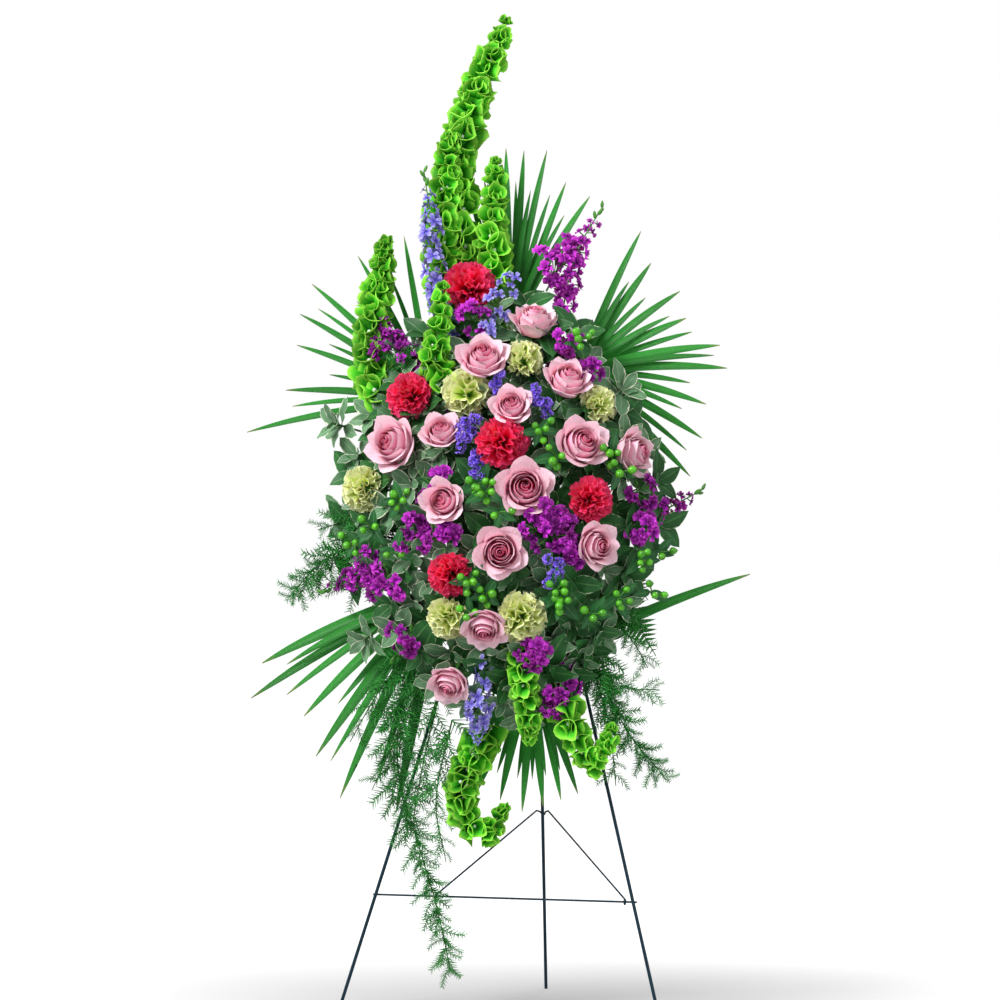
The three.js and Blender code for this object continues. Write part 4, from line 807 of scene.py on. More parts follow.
def make_carnation(name, heads, petal, shapes, seed, count, breadth=1.0):
    """One node of carnations, whose petals reach from their heart to a dome: a single bloom, or
    two on a forked stem."""
    petals, holder = shapes
    draw = Random(seed)
    bloom = Growth(draw, name, out=0.006 if len(heads) > 1 else 0)
    for column, row, proud, size, turn, lift in heads:
        axis = facing(turn, lift)
        size *= MM
        radius = size / 2
        centre = on_dome(column, row, proud) - axis * size * 0.3
        heart = centre - axis * radius * 0.42
        for k in range(count):
            opened = radians(106) * sqrt((k + 0.5) / count)
            out = ringed(axis, k * GOLDEN)
            level = 0.76 if opened < pi / 2 else 0.4
            tip = centre + out * radius * sin(opened) + axis * radius * level * cos(opened)
            tip += out * radius * draw.uniform(-0.07, 0.06) + axis * radius * draw.uniform(-0.07, 0.07)
            root = heart + (tip - heart) * 0.12
            face = ringed((tip - root).normalized(), draw.random() * tau)
            wide = radius * breadth * draw.uniform(0.8, 1.0)
            bloom.stamp(draw.choice(petals), root, tip - root, face, (wide, wide, (tip - root).length))
        bloom.stamp(holder, centre - axis * radius * 0.28, axis, UP, radius, 0.5)
        bloom.stem_to(centre - axis * size * 0.48, axis, 0.0022, 0.75)
    bloom.finish(f"{name}_bloom", (petal, "calyx_green"), name)


# Spikes: each path goes from the tip to the stem, in columns, rows and how far forward. A bells
# path comes with the share of it that carries flowers.
BELLS = {
    "top": ("top", (
        (((505, 24, 40), (488, 68, 50), (466, 120, 60), (458, 190, 65), (470, 300, 70)), 0.62),
        (((496, 160, 76), (494, 205, 78), (492, 255, 76), (490, 330, 72)), 0.66),
    )),
    "left": ("top", (
        (((450, 132, 85), (446, 185, 88), (442, 240, 88), (450, 320, 84)), 0.72),
        (((387, 238, 70), (378, 290, 78), (372, 345, 84), (385, 400, 88)), 0.8),
    )),
    "front": ("front", ((((443, 286, 150), (440, 325, 152), (437, 370, 146)), 0.62),)),
    "hanging": ("front", (
        (((529, 742, 140), (527, 705, 150), (522, 668, 150)), 0.7),
        (((612, 728, 90), (596, 762, 100), (580, 745, 110), (562, 700, 118)), 0.5),
    )),
    "curled": ("bottom", (
        (((506, 806, 74), (482, 834, 80), (462, 800, 84), (468, 768, 80), (490, 720, 66)), 0.62),
    )),
}
STOCKS = {
    "upper_right": (
        ((602, 208, 60), (580, 245, 78), (568, 282, 88), (560, 330, 90)),
        ((590, 335, 100), (572, 342, 104), (560, 352, 104)),
    ),
    "upper_left": (((376, 312, 84), (392, 335, 92), (412, 360, 98), (430, 380, 100)),),
    "left": (
        ((322, 592, 70), (358, 577, 92), (404, 552, 112), (430, 540, 116)),
        ((396, 458, 84), (428, 480, 104), (440, 486, 108)),
        ((394, 660, 92), (404, 640, 100), (416, 616, 100)),
    ),
    "right": (
        ((702, 490, 64), (668, 508, 80), (640, 520, 92), (620, 526, 98)),
        ((588, 560, 150), (562, 540, 160), (552, 530, 150)),
    ),
    "low": (((578, 722, 98), (570, 690, 102), (560, 660, 106)),),
}
LARKSPUR = {
    "top": ("top", ((424, 172, 124), (430, 215, 128), (432, 262, 126), (444, 320, 116))),
    "low": ("front", ((474, 752, 128), (478, 720, 134), (482, 690, 138))),
}

# Small tufts: column, row, how proud of the dome, and radius. Bunches and berries are placed alike.
STOCK_TUFTS = (
    (474, 318, -10, 16), (592, 365, -8, 12), (428, 484, -2, 20), (412, 530, -4, 20), (440, 542, -6, 18),
    (360, 572, -8, 24), (384, 584, -6, 18), (545, 515, 4, 22), (555, 536, 4, 20), (538, 530, 0, 16),
    (577, 552, -4, 12), (643, 492, -4, 14), (646, 528, -6, 14), (534, 655, -4, 16), (556, 704, -4, 14),
    (400, 642, -6, 14), (558, 268, -10, 22), (568, 250, -16, 16), (385, 342, -2, 18), (568, 342, -6, 14),
)
LARKSPUR_TUFTS = ((496, 302, -4, 15), (510, 282, -12, 13), (484, 330, -6, 12), (474, 716, -2, 14))
STATICE = (
    (466, 432, 196, 20), (480, 466, 200, 18), (540, 402, 190, 18), (497, 384, 186, 12), (555, 574, 196, 18),
)
BERRIES = ((478, 484, 204), (556, 456, 200), (486, 595, 196), (612, 452, 166), (562, 602, 188))
BERRY_TWIGS = (
    (400, 500, 0), (640, 560, 0), (580, 340, -4), (486, 492, 2), (470, 580, 4), (540, 430, 2),
    (372, 528, -6), (354, 542, -8), (394, 552, -4), (652, 592, -8), (618, 598, -2), (592, 614, 0),
    (620, 472, -4), (556, 590, 2), (470, 612, 2), (660, 552, -8), (500, 512, 2),
)

# Kinds of floret by their rings of petals: each ring's count, length, rise from flat, ruffle and
# width.
DOUBLE_FLORETS = (
    ((4, 1.0, 0.1, 0.2, 0.8), (4, 0.8, 0.55, 0.2, 0.7), (3, 0.5, 1.1, 0.2, 0.6)),
    ((4, 1.0, 0.2, 0.26, 0.75), (3, 0.85, 0.7, 0.2, 0.7)),
    ((4, 1.0, 0.35, 0.2, 0.85), (4, 0.6, 0.9, 0.26, 0.7)),
)
SINGLE_FLORET = ((5, 1.0, 0.25, 0.08, 0.55), (3, 0.5, 1.0, 0.05, 0.4))
PAPERY_FLORET = ((5, 1.0, 0.7, 0.12, 0.85),)


def bell_shape(phase):
    """A ruffled shell, its lower lip longer than its upper one."""
    profile = ((0.05, 0.0), (0.22, 0.16), (0.36, 0.42), (0.48, 0.70), (0.62, 0.94))

    def place(u, v):
        angle = pi * u
        radius, height = through(profile, v)
        lip = cos(angle)
        ruffle = v * v * (0.09 * sin(3 * angle + phase) + 0.04 * sin(5 * angle + 2 * phase))
        return Vector((
            radius * sin(angle) * (1.12 + ruffle),
            -radius * (1 + 0.25 * v * lip + ruffle) * lip,
            height * (1 + 0.16 * lip) + ruffle * 1.2,
        ))

    # Darker towards the cup's base: painted shade inside the cup.
    return sheet(14, 3, place, lambda u, v: min(1, 1.15 * (1 - v * v)), 0.035, loop=True)


def make_bells(name, gap, longest, seed):
    """Spikes of green cups in whorls, each with a tiny white flower inside."""
    face, spikes = BELLS[name]
    node = f"bells_{name}"
    draw = Random(seed)
    stalk = Growth(draw, node, face, 0.004)
    cups = [bell_shape(phase) for phase in (0.0, 2.0, 4.1)]
    floret = turned(((0.02, 0.0), (0.09, 0.1), (0.14, 0.3), (0.11, 0.42), (0.02, 0.46)), 6, 2)
    for path, flowered in spikes:
        line, frames, length = stalk.run(path)
        whorls = max(4, round(length * flowered / gap))
        for k in range(whorls):
            share = ((k + 0.5) / whorls) ** 1.2
            at = min(stalk.STATIONS, round(share * flowered * stalk.STATIONS))
            along, across, side = frames[at]
            reach = longest * mix(0.36, 1.0, min(1, (k / 8) ** 0.7))
            for j in range(6):
                turn = tau * (j + 0.5 * (k % 2)) / 6 + draw.uniform(-0.12, 0.12)
                out = swing(across, side, turn)
                way = out * mix(0.7, 1, min(1, k / 3)) - along * draw.uniform(0.1, 1.1)
                size = reach * draw.uniform(0.72, 1.08)
                root = line[at] + out * 0.001
                stalk.stamp(draw.choice(cups), root, way, along, size)
                if k > 3:
                    stalk.stamp(floret, root, way, along, size)
        stalk.spike_stem(line, 0.0024)
    stalk.finish(f"{node}_cups", ("bell_calyx", "calyx_green", "floret_white"), node)


def floret_shape(rings, seed, faces=(3, 2)):
    """A flower of rings of petals with narrow roots and broad rounded rims."""
    draw = Random(seed)
    flower = Growth(draw)
    for ring, (count, length, rise, ruffle, width) in enumerate(rings):

        def place(u, v):
            half = width / 2 * (0.14 + 0.86 * sin(pi / 2 * min(1, v * 1.25)))
            wave = ruffle * v * v * sin(1.6 * pi * u + ring * 1.3)
            reach = v * (1 - 0.22 * u * u - 0.05 * (1 - abs(u)) ** 2)
            return Vector((u * half, 0.25 * u * u * half + wave - 0.06 * v * v, reach))

        petal = sheet(*faces, place, thick=0.03)
        for k in range(count):
            turn = tau * (k + 0.5 * ring + draw.uniform(-0.22, 0.22)) / count
            lift = rise + draw.uniform(-0.3, 0.3)
            way = Vector((cos(turn) * cos(lift), sin(turn) * cos(lift), sin(lift)))
            flower.stamp(petal, UP * 0.04 * ring, way, UP, length * draw.uniform(0.72, 1.08))
        bpy.data.meshes.remove(petal)
    return settled(flower.form)


def make_spikes(name, face, paths, kind, seed):
    """Spikes of florets round their stems, with buds at the tip."""
    petal, flowers, bud, gap, reach, size, flowered = kind
    draw = Random(seed)
    stalk = Growth(draw, name, face, 0.004)
    for path in paths:
        line, frames, length = stalk.run(path)
        count = max(9, round(length * flowered / gap))
        for k in range(count):
            share = (k + 0.3) / count
            at = min(stalk.STATIONS - 1, round(share * flowered * stalk.STATIONS))
            along, across, side = frames[at]
            out = swing(across, side, k * GOLDEN + draw.uniform(-0.2, 0.2))
            grow = mix(0.3, 1.0, min(1, share * 3.2))
            way = out - along * mix(1.5, 0.35, min(1, share * 3))
            head = line[at] + out * reach * grow * draw.uniform(0.4, 0.95) - along * 0.002
            if grow < 0.5:
                stalk.stamp(bud, line[at], way, along, size * (0.45 + grow))
                continue
            scale = size * grow * draw.uniform(0.88, 1.1)
            stalk.tube([line[at], head], 0.0008, 0.001, 4)
            stalk.stamp(draw.choice(flowers), head, way, along, scale)
        stalk.spike_stem(line, 0.002)
    stalk.finish(f"{name}_florets", (petal, "calyx_green", "floret_white"), name)


def make_tufts(name, spots, kind, size, seed):
    """Small groups of florets on short stems among the other blooms."""
    petal, flowers, bud, *_ = kind
    draw = Random(seed)
    tuft = Growth(draw)
    for column, row, proud, radius in spots:
        axis = facing((column - 500) / 5, (500 - row) / 12)
        heart = on_dome(column, row, proud) - axis * radius * MM
        tuft.tube(smooth([heart - axis * 0.06, heart], 3), 0.0016, 0.0014)
        for _ in range(max(5, round(radius * 0.5))):
            drift = Vector((draw.uniform(-1, 1), draw.uniform(-0.5, 0.3), draw.uniform(-1.15, 1.15)))
            head = heart + axis * radius * MM * draw.uniform(0.2, 1.0) + drift * radius * MM * 1.2
            way = axis + drift * draw.uniform(0.5, 1.1)
            bend = mix(heart, head, 0.5) - axis * 0.003
            tuft.tube(smooth([heart - axis * 0.01, bend, head], 3), 0.0008, 0.001, 4)
            tuft.stamp(draw.choice(flowers), head, way, UP, size * draw.uniform(0.7, 1.1))
        for _ in range(round(radius * 0.2)):
            root = heart + Vector((draw.uniform(-1, 1), 0, draw.uniform(0.2, 1.2))) * radius * MM
            tuft.tube([heart, root], 0.0007, 0.0009, 4)
            tuft.stamp(bud, root, axis * 0.6 + UP, axis, size * draw.uniform(0.5, 0.8))
    tuft.finish(name, (petal, "calyx_green", "floret_white"))


def make_statice():
    """Bunches of tiny papery florets on one branched stem."""
    draw = Random(21)
    bunch = Growth(draw, "statice", out=0.008)
    lobes = floret_shape(PAPERY_FLORET, 5, (2, 1))
    axis = facing(0, 0)
    for column, row, forward, radius in STATICE:
        centre = spot(column, row, forward)
        bunch.stem_to(centre, axis, 0.0013)
        tufts = [Vector()]
        for _ in range(8):
            tufts.append(Vector((draw.uniform(-0.5, 0.5), draw.uniform(-0.3, 0.4), draw.uniform(-1, 1))))
        for tuft in tufts:
            heart = centre + tuft * radius * MM * 1.25
            bunch.tube([centre, heart], 0.0008, 0.0008, 4)
            for k in range(12):
                rise = 1 - 1.6 * (k + 0.5) / 12
                out = ringed(axis, k * GOLDEN + tuft.x) * sqrt(max(0, 1 - rise * rise)) + axis * rise
                head = heart + out * radius * MM * draw.uniform(0.26, 0.44)
                way = out + ringed(out, draw.random() * tau) * 0.5
                bunch.stamp(lobes, head - out * 0.002, way, UP, draw.uniform(0.0042, 0.0062))
    bunch.finish("statice_bunch", ("statice_floret", "calyx_green"), "statice")


def berry_shapes():
    """A berry, the dark tip on it, a sepal and a leaf."""
    body = ((0.1, -1.0), (0.55, -0.85), (0.9, -0.4), (1.0, 0.05), (0.88, 0.55), (0.5, 0.98), (0.16, 1.16))
    tip = turned(((0.14, -0.02), (0.1, 0.12), (0.03, 0.24)), 5, 3)
    sepal = leaf_shape(0.55, 0.2, 0.1, mat=1, along=3, thick=0.05)
    return turned(body, 10), tip, sepal, leaf_shape(0.45, mat=2, along=6, thick=0.02)


def berry_cluster(twig, centre, axis, shapes, count=4):
    """Adds a cluster of berries on short stalks, each in its sepals, with small leaves below."""
    body, tip, sepal, leaf = shapes
    draw = twig.draw
    for k in range(count):
        opened = mix(0.2, 1.25, (k + 0.5) / count) + draw.uniform(-0.15, 0.15)
        out = ringed(axis, k * GOLDEN + draw.uniform(-0.35, 0.35)) * sin(opened) + axis * cos(opened)
        head = centre + out * 0.017 * draw.uniform(0.85, 1.25)
        twig.tube([centre, head - out * 0.005], 0.0009, 0.0013)
        size = 0.0062 * draw.uniform(0.78, 1.05)
        twig.stamp(body, head, out, UP, size)
        twig.stamp(tip, head + out * size * 1.12, out, UP, size)
        for j in range(5):
            way = ringed(out, tau * j / 5) + out * 0.6
            twig.stamp(sepal, head - out * size * 0.98, way, -out, size * 1.5)
    for k in range(draw.randrange(2, 5)):
        out = ringed(axis, k * tau / 3.4 + draw.uniform(-0.6, 0.6))
        way = out + axis * draw.uniform(0.1, 0.7)
        twig.stamp(leaf, centre - axis * 0.006, way, axis, draw.uniform(0.024, 0.036))


def make_berries():
    """Clusters of berries on one branched stem, and on twigs of their own."""
    twig = Growth(Random(61), "hypericum")
    shapes = berry_shapes()
    materials = ("berry", "calyx_green", "berry_leaf", "berry_tip")
    axis = facing(0, 0)
    for place in BERRIES:
        centre = spot(*place)
        twig.stem_to(centre, axis, 0.0014)
        berry_cluster(twig, centre, axis, shapes)
    twig.finish("hypericum_berries", materials, "hypericum")
    for column, row, proud in BERRY_TWIGS:
        axis = facing((column - 500) / 6, (500 - row) / 14)
        centre = on_dome(column, row, proud)
        twig.tube(smooth([on_dome(column, row, proud - 60), centre], 3), 0.0013, 0.0011)
        berry_cluster(twig, centre, axis, shapes, twig.draw.choice((2, 3, 4, 5)))
    twig.finish("berry_twigs", materials)


# Greens. A fan has the foam's face that it leaves, its hub, its blades' width and their tips.

FANS = {
    "top": ("top", (510, 330, 44), 15, (
        (468, 190, 30), (484, 180, 38), (506, 148, 30), (524, 150, 40), (547, 150, 30), (566, 182, 42),
        (590, 196, 34),
    )),
    "right": ("right", (578, 372, 46), 15, (
        (641, 231, 30), (651, 263, 44), (680, 291, 30), (686, 318, 44), (720, 345, 30), (727, 368, 44),
        (706, 404, 32), (702, 438, 44), (690, 476, 34),
    )),
    "left": ("left", (432, 402, 46), 13, (
        (404, 236, 44), (358, 256, 34), (312, 284, 44), (300, 314, 30), (297, 345, 44), (286, 390, 32),
        (247, 432, 40),
    )),
    "low_left": ("left", (440, 590, 46), 20, (
        (262, 663, 40), (251, 698, 30), (304, 716, 42), (316, 756, 30), (340, 798, 42), (396, 813, 32),
    )),
    "bottom": ("bottom", (532, 668, 42), 17, (
        (452, 778, 34), (478, 790, 44), (500, 800, 32), (522, 812, 44), (543, 806, 32), (561, 800, 44),
        (578, 794, 32), (598, 782, 44), (750, 574, 34),
    )),
}
FERNS = {
    "left": ("left", ((408, 522, 70), (366, 540, 66), (324, 560, 56), (290, 596, 46)), 70, 66),
    "trailing": ("left", (
        (436, 640, 74), (404, 700, 70), (398, 768, 60), (416, 836, 52), (436, 904, 46), (450, 968, 42),
    ), 110, 62),
    "right": ("right", ((580, 640, 78), (606, 690, 72), (630, 735, 62), (664, 776, 50)), 70, 60),
}
WISPS = (
    ((420, 640, 78), (380, 690, 66), (350, 742, 58)),
    ((430, 660, 84), (404, 720, 84), (372, 790, 72)),
    ((440, 690, 80), (424, 760, 74), (412, 826, 60)),
    ((400, 560, 70), (350, 590, 64), (312, 566, 56)),
    ((384, 500, 60), (346, 520, 56), (318, 530, 50)),
    ((590, 640, 90), (616, 684, 88), (660, 690, 80)),
    ((586, 650, 76), (608, 720, 66), (616, 786, 56)),
    ((600, 600, 84), (632, 640, 80), (648, 668, 72)),
    ((430, 400, 104), (408, 366, 104), (386, 338, 96)),
    ((452, 720, 92), (436, 800, 82), (446, 862, 70)),
)
WISP_SPRIGS = 19
FRONDS = (
    ((590, 560, 92), (622, 568, 82), (648, 600, 72)),
    ((590, 590, 96), (628, 612, 86), (656, 656, 76)),
)
# Twigs of leaves: the foam's face, the leaves' length and width, and where each cluster is and faces.
ROSETTES = {
    "pittosporum_left": ("left", (44, 19), (
        (336, 424, 74, -60, 10), (372, 416, 92, -40, 20), (420, 452, 118, -20, 10),
    )),
    "pittosporum_low": ("front", (42, 18), (
        (412, 598, 104, -35, -10), (400, 628, 90, -40, -25), (366, 640, 76, -50, -25),
    )),
    "pittosporum_right": ("front", (46, 18), (
        (602, 634, 98, 35, -20), (578, 660, 104, 15, -40), (622, 584, 88, 45, 0),
    )),
    "salal": ("front", (64, 36), ((548, 392, 118, 5, 30), (620, 420, 94, 40, 20), (478, 420, 120, -10, 20))),
}
FILLING_MIDDLE = (502, 508)
FILLING_REACH = (165, 215)
FILLING_START_ROW = 505


def blade(palm, hub, tip, width, sway):
    """Adds a palm blade: folded along its middle, ribbed, drooping towards a slim point."""
    bow = Vector((0, sway, (tip - hub).length * 0.03))
    side = (tip - hub).cross(Vector((0, 1, 0))).normalized()
    face = (tip - hub).normalized().cross(side)

    def place(u, v):
        middle = mix(hub, tip, v) + bow * 4 * v * (1 - v)
        half = width / 2 * max(0.05, min(1, 0.25 + v * 3.4) * (1 - v ** 4.2) ** 0.8)
        return middle + side * u * half - face * (0.34 * half * abs(u) * (1 - 0.4 * v))

    add(palm.form, sheet(4, 20, place, thick=0.0006), palm.draw.random())


def make_palm(name, seed):
    """A palm leaf: ribbed blades on one stalk."""
    face, hub, width, tips = FANS[name]
    node = f"palm_{name}"
    draw = Random(seed)
    palm = Growth(draw, node, face)
    hub = spot(*hub)
    tips = [spot(*place) for place in tips]
    for k, tip in enumerate(tips):
        blade(palm, hub, tip, width * 0.84 * MM * draw.uniform(0.9, 1.08), (5 if k % 2 else -5) * MM)
    for first, second in zip(tips, tips[1:]):
        if (first - second).length > 0.14:
            continue
        tip = mix(hub, mix(first, second, draw.uniform(0.35, 0.65)), draw.uniform(0.72, 0.95))
        blade(palm, hub, tip, width * 0.62 * MM, draw.uniform(-0.012, 0.012))
    palm.tube([palm.inner, *smooth([palm.outer, palm.fork, hub], 6)], 0.0026, 0.0045, 8)
    palm.finish(f"{node}_blades", ("palm_leaf", "stem_green"), node, 40)


def needle_shape(draw, whorls=13):
    """A branchlet one unit long with needles in whorls of three along a slim core."""
    twig = Growth(draw)
    needle = turned(((0.055, 0.0), (0.02, 1.0)), 3)
    spine = smooth([Vector(), Vector((0.09, 0.02, 0.5)), Vector((0.0, -0.03, 1.0))], whorls)
    twig.tube(spine[::3], 0.009, 0.004, 3)
    for k in range(whorls):
        for j in range(3):
            turn = tau * j / 3 + k * 1.1 + draw.uniform(-0.3, 0.3)
            length = mix(0.34, 0.2, (k + 1) / whorls) * draw.uniform(0.8, 1.2)
            way = Vector((cos(turn), sin(turn), draw.uniform(0.45, 0.9)))
            twig.stamp(needle, spine[k], way, UP, (0.4, 0.4, length))
    return settled(twig.form)


def make_fern(name, seed):
    """A trailing spray of needle-leaved fern."""
    face, path, count, length = FERNS[name]
    node = f"asparagus_fern_{name}"
    draw = Random(seed)
    fern = Growth(draw, node, face, 0.004)
    shapes = [needle_shape(draw) for _ in range(3)]
    line = smooth([*(spot(*place) for place in reversed(path)), fern.fork], 40)
    frames = frames_along(line)
    for k in range(count):
        share = (k + 0.2) / count
        at = min(39, round(share * 0.88 * 40))
        along, across, side = frames[at]
        out = swing(across, side, k * GOLDEN)
        way = out * draw.uniform(0.8, 1.4) - along * draw.uniform(0.1, 1.0)
        way = Vector((way.x, way.y * 0.45, way.z - 0.3))
        reach = length * MM * mix(0.5, 1.0, share) * draw.uniform(0.55, 1.1)
        fern.stamp(draw.choice(shapes), line[at], way, side, reach)
    fern.tube([*line, fern.inner], 0.0008, 0.0016)
    fern.finish(f"{node}_spray", ("fern_needle", "stem_green"), node)


def make_wisps(seed):
    """Loose sprigs of the needle-leaved fern that hang out between the other leaves."""
    draw = Random(seed)
    fern = Growth(draw)
    shapes = [needle_shape(draw, 10) for _ in range(3)]
    for path in WISPS:
        line = smooth([spot(*place) for place in path], 24)
        frames = frames_along(line)
        for k in range(WISP_SPRIGS):
            share = (k + 0.3) / WISP_SPRIGS
            at = round(share * 23)
            along, across, side = frames[at]
            out = swing(across, side, k * GOLDEN)
            way = out * draw.uniform(0.7, 1.1) + along * draw.uniform(0.3, 1.0)
            way = Vector((way.x, way.y * 0.5, way.z - 0.2))
            reach = mix(0.056, 0.03, share) * draw.uniform(0.6, 1.1)
            fern.stamp(draw.choice(shapes), line[at], way, side, reach)
        fern.tube(line, 0.0013, 0.0007)
    fern.finish("asparagus_wisps", ("fern_needle", "stem_green"))


def make_rosettes(name, seed):
    """Twigs of oval leaves on one branched stem."""
    face, (length, width), clusters = ROSETTES[name]
    slot, wave, count = ("salal_leaf", 0.01, 5) if name == "salal" else ("pittosporum_leaf", 0.03, 9)
    twig = Growth(Random(seed), name, face)
    leaf = leaf_shape(width / length * 1.15, wave=wave, point=1.25, thick=0.014)
    for column, row, forward, turn, lift in clusters:
        centre = spot(column, row, forward)
        axis = facing(turn, lift)
        twig.stem_to(centre, axis, 0.0016)
        twig.rosette(leaf, centre, axis, count, length * MM)
    twig.finish(f"{name}_leaves", (slot, "stem_green"), name)


def make_leatherleaf():
    """Two fern fronds with lobed leaflets that shorten to the tip."""
    draw = Random(47)
    fern = Growth(draw, "leatherleaf", "right")

    def place(u, v):
        half = 0.15 * max(0.08, (1 - v ** 2) * (0.62 + 0.38 * abs(sin(v * 6.5 * pi))))
        return Vector((u * half, 0.1 * abs(u) * half - 0.1 * v * v, v))

    leaflet = sheet(2, 20, place, thick=0.012)
    for path in FRONDS:
        line = smooth([spot(*point) for point in path], 40)
        frames = frames_along(line, (1, 0, 0))
        stem = smooth([fern.fork, line[0], line[4]], 6)
        fern.tube([fern.inner, *stem, *line[6:]], 0.0014, 0.0007)
        for k in range(17):
            at = 2 + round(37 * k / 17)
            along, across, side = frames[at]
            reach = 0.032 * sin(pi * mix(0.28, 0.97, k / 17)) * 1.05
            for sign in (-1, 1):
                way = across * sign + along * 0.45 + side * draw.uniform(-0.12, 0.12)
                fern.stamp(leaflet, line[at], way, side, reach)
    fern.finish("leatherleaf_fronds", ("leatherleaf_leaf", "stem_green"), "leatherleaf")


def make_filling(step):
    """Twigs of dark and pale-edged leaves that fill the spaces between the blooms."""
    draw = Random(77)
    dark = leaf_shape(0.62, 0.2, 0.22, 0.015, 0.85, 7, thick=0.01)
    pale = leaf_shape(0.52, 0.2, 0.22, 0.03, 1.25, 6)
    kinds = {
        "dark": (Growth(draw), dark, 5, (0.044, 0.062), "salal_leaf"),
        "pale": (Growth(draw), pale, 7, (0.040, 0.052), "pittosporum_leaf"),
    }
    for i in range(-9, 10):
        for j in range(-12, 13):
            column = FILLING_MIDDLE[0] + (i + 0.5 * (j % 2)) * step + draw.uniform(-7, 7)
            row = FILLING_START_ROW + j * step * 0.86 + draw.uniform(-7, 7)
            wide = (column - FILLING_MIDDLE[0]) / FILLING_REACH[0]
            high = (row - FILLING_MIDDLE[1]) / FILLING_REACH[1]
            if abs(wide) ** 1.6 + abs(high) ** 1.6 > 1:
                continue
            twig, leaf, count, lengths, _ = kinds["pale" if draw.random() < 0.45 else "dark"]
            axis = facing(wide * 55, -high * 45)
            centre = on_dome(column, row, draw.uniform(-62, -34))
            across = max(-0.05, min(0.05, centre.x * 0.4))
            along = FOAM_MIDDLE + max(-0.1, min(0.1, (centre.z - 0.75) * 0.4))
            root = on_easel(across, along, FOAM_FRONT - 0.01)
            twig.tube(smooth([root, mix(root, centre, 0.5), centre], 5), 0.0016, 0.0012)
            twig.rosette(leaf, centre, axis, count, draw.uniform(*lengths))
    for name, (twig, _, _, _, slot) in kinds.items():
        twig.finish(f"filling_{name}", (slot, "stem_green"))


# Easel and holder.


def leg_x(height, sizes):
    """How far from the middle a front leg is at a height."""
    return sizes.half_spread * (1 - height / APEX_HEIGHT)


def arc(centre, radius, first, last, steps):
    """Points of a ring in the plane square to X, between two angles in degrees."""
    angles = [radians(mix(first, last, i / steps)) for i in range(steps + 1)]
    return [centre + Vector((0, cos(angle), sin(angle))) * radius for angle in angles]


def footed(points, radius):
    """A wire leg cut flat on the floor."""
    form = new_form()
    below = points[-1] + (points[-1] - points[-2]).normalized() * 0.008
    tube(form, [*points[:-1], below], radius, radius, 20)
    parts = [*form.verts, *form.edges, *form.faces]
    cut = bmesh.ops.bisect_plane(form, geom=parts, plane_co=(0, 0, 0), plane_no=UP, clear_inner=True)
    edges = [item for item in cut["geom_cut"] if isinstance(item, bmesh.types.BMEdge)]
    bmesh.ops.edgeloop_fill(form, edges=edges)
    bmesh.ops.recalc_face_normals(form, faces=form.faces[:])
    return form


def make_legs(sizes):
    """The easel's front legs."""
    leg = sizes.leg_radius
    height = PIN.z - leg * 2 - GAP
    for sign, side in ((-1, "left"), (1, "right")):
        top = Vector((sign * max(leg_x(height, sizes), leg + GAP), easel_back(height), height))
        foot = Vector((sign * sizes.half_spread, 0, 0))
        form = footed([*(mix(top, foot, k / 4) for k in range(4)), foot], leg)
        piece(f"leg_{side}_wire", form, ("wire",), f"leg_{side}")


def make_pin(sizes):
    """The pin at the apex, with its head."""
    form = new_form()
    tube(form, [Vector((x, PIN.y, PIN.z)) for x in PIN_LINE], sizes.leg_radius, sizes.leg_radius, 20)
    place = Matrix.Translation((PIN_HEAD_AT, PIN.y, PIN.z)) @ Matrix.Rotation(pi / 2, 4, "Y")
    add(form, turned(PIN_HEAD, 24), 0.5, place)
    piece("pin_wire", form, ("wire",), "hinge_pin", sharp=35)


def cross(x, sizes):
    """A point of the lower cross wire."""
    back = sizes.leg_radius + sizes.wire_radius + GAP
    return on_easel(x, sizes.cross_height / cos(LEAN), -back)


def make_cross_wire(sizes):
    """The lower cross wire behind the front legs."""
    reach = leg_x(sizes.cross_height, sizes) + CROSS_OVERHANG
    form = new_form()
    points = [cross(x, sizes) for x in (-reach, 0, reach)]
    tube(form, points, sizes.wire_radius, sizes.wire_radius, 14)
    piece("cross_wire_bar", form, ("wire",), "cross_wire")


def rear_line(sizes):
    """The rear leg's eye, its foot and its direction."""
    top = Vector((sizes.rear_leg_offset, PIN.y, PIN.z))
    foot = Vector((0, sizes.rear_foot_back, 0))
    return top, foot, (foot - top).normalized()


def make_rear_leg(sizes):
    """The rear leg, its top bent into an eye round the pin."""
    top, foot, along = rear_line(sizes)
    eye = sizes.leg_radius * 2 + EYE_CLEARANCE
    start = degrees(atan2(along.z, along.y))
    loop = arc(top, eye, start, start + EYE_TURN, 26)
    neck = [top + along * (eye + reach) for reach in (0.004, 0.02)]
    form = footed([*reversed(loop[1:]), *neck, foot], sizes.leg_radius)
    piece("rear_leg_wire", form, ("wire",), "rear_leg", body="rear_leg")


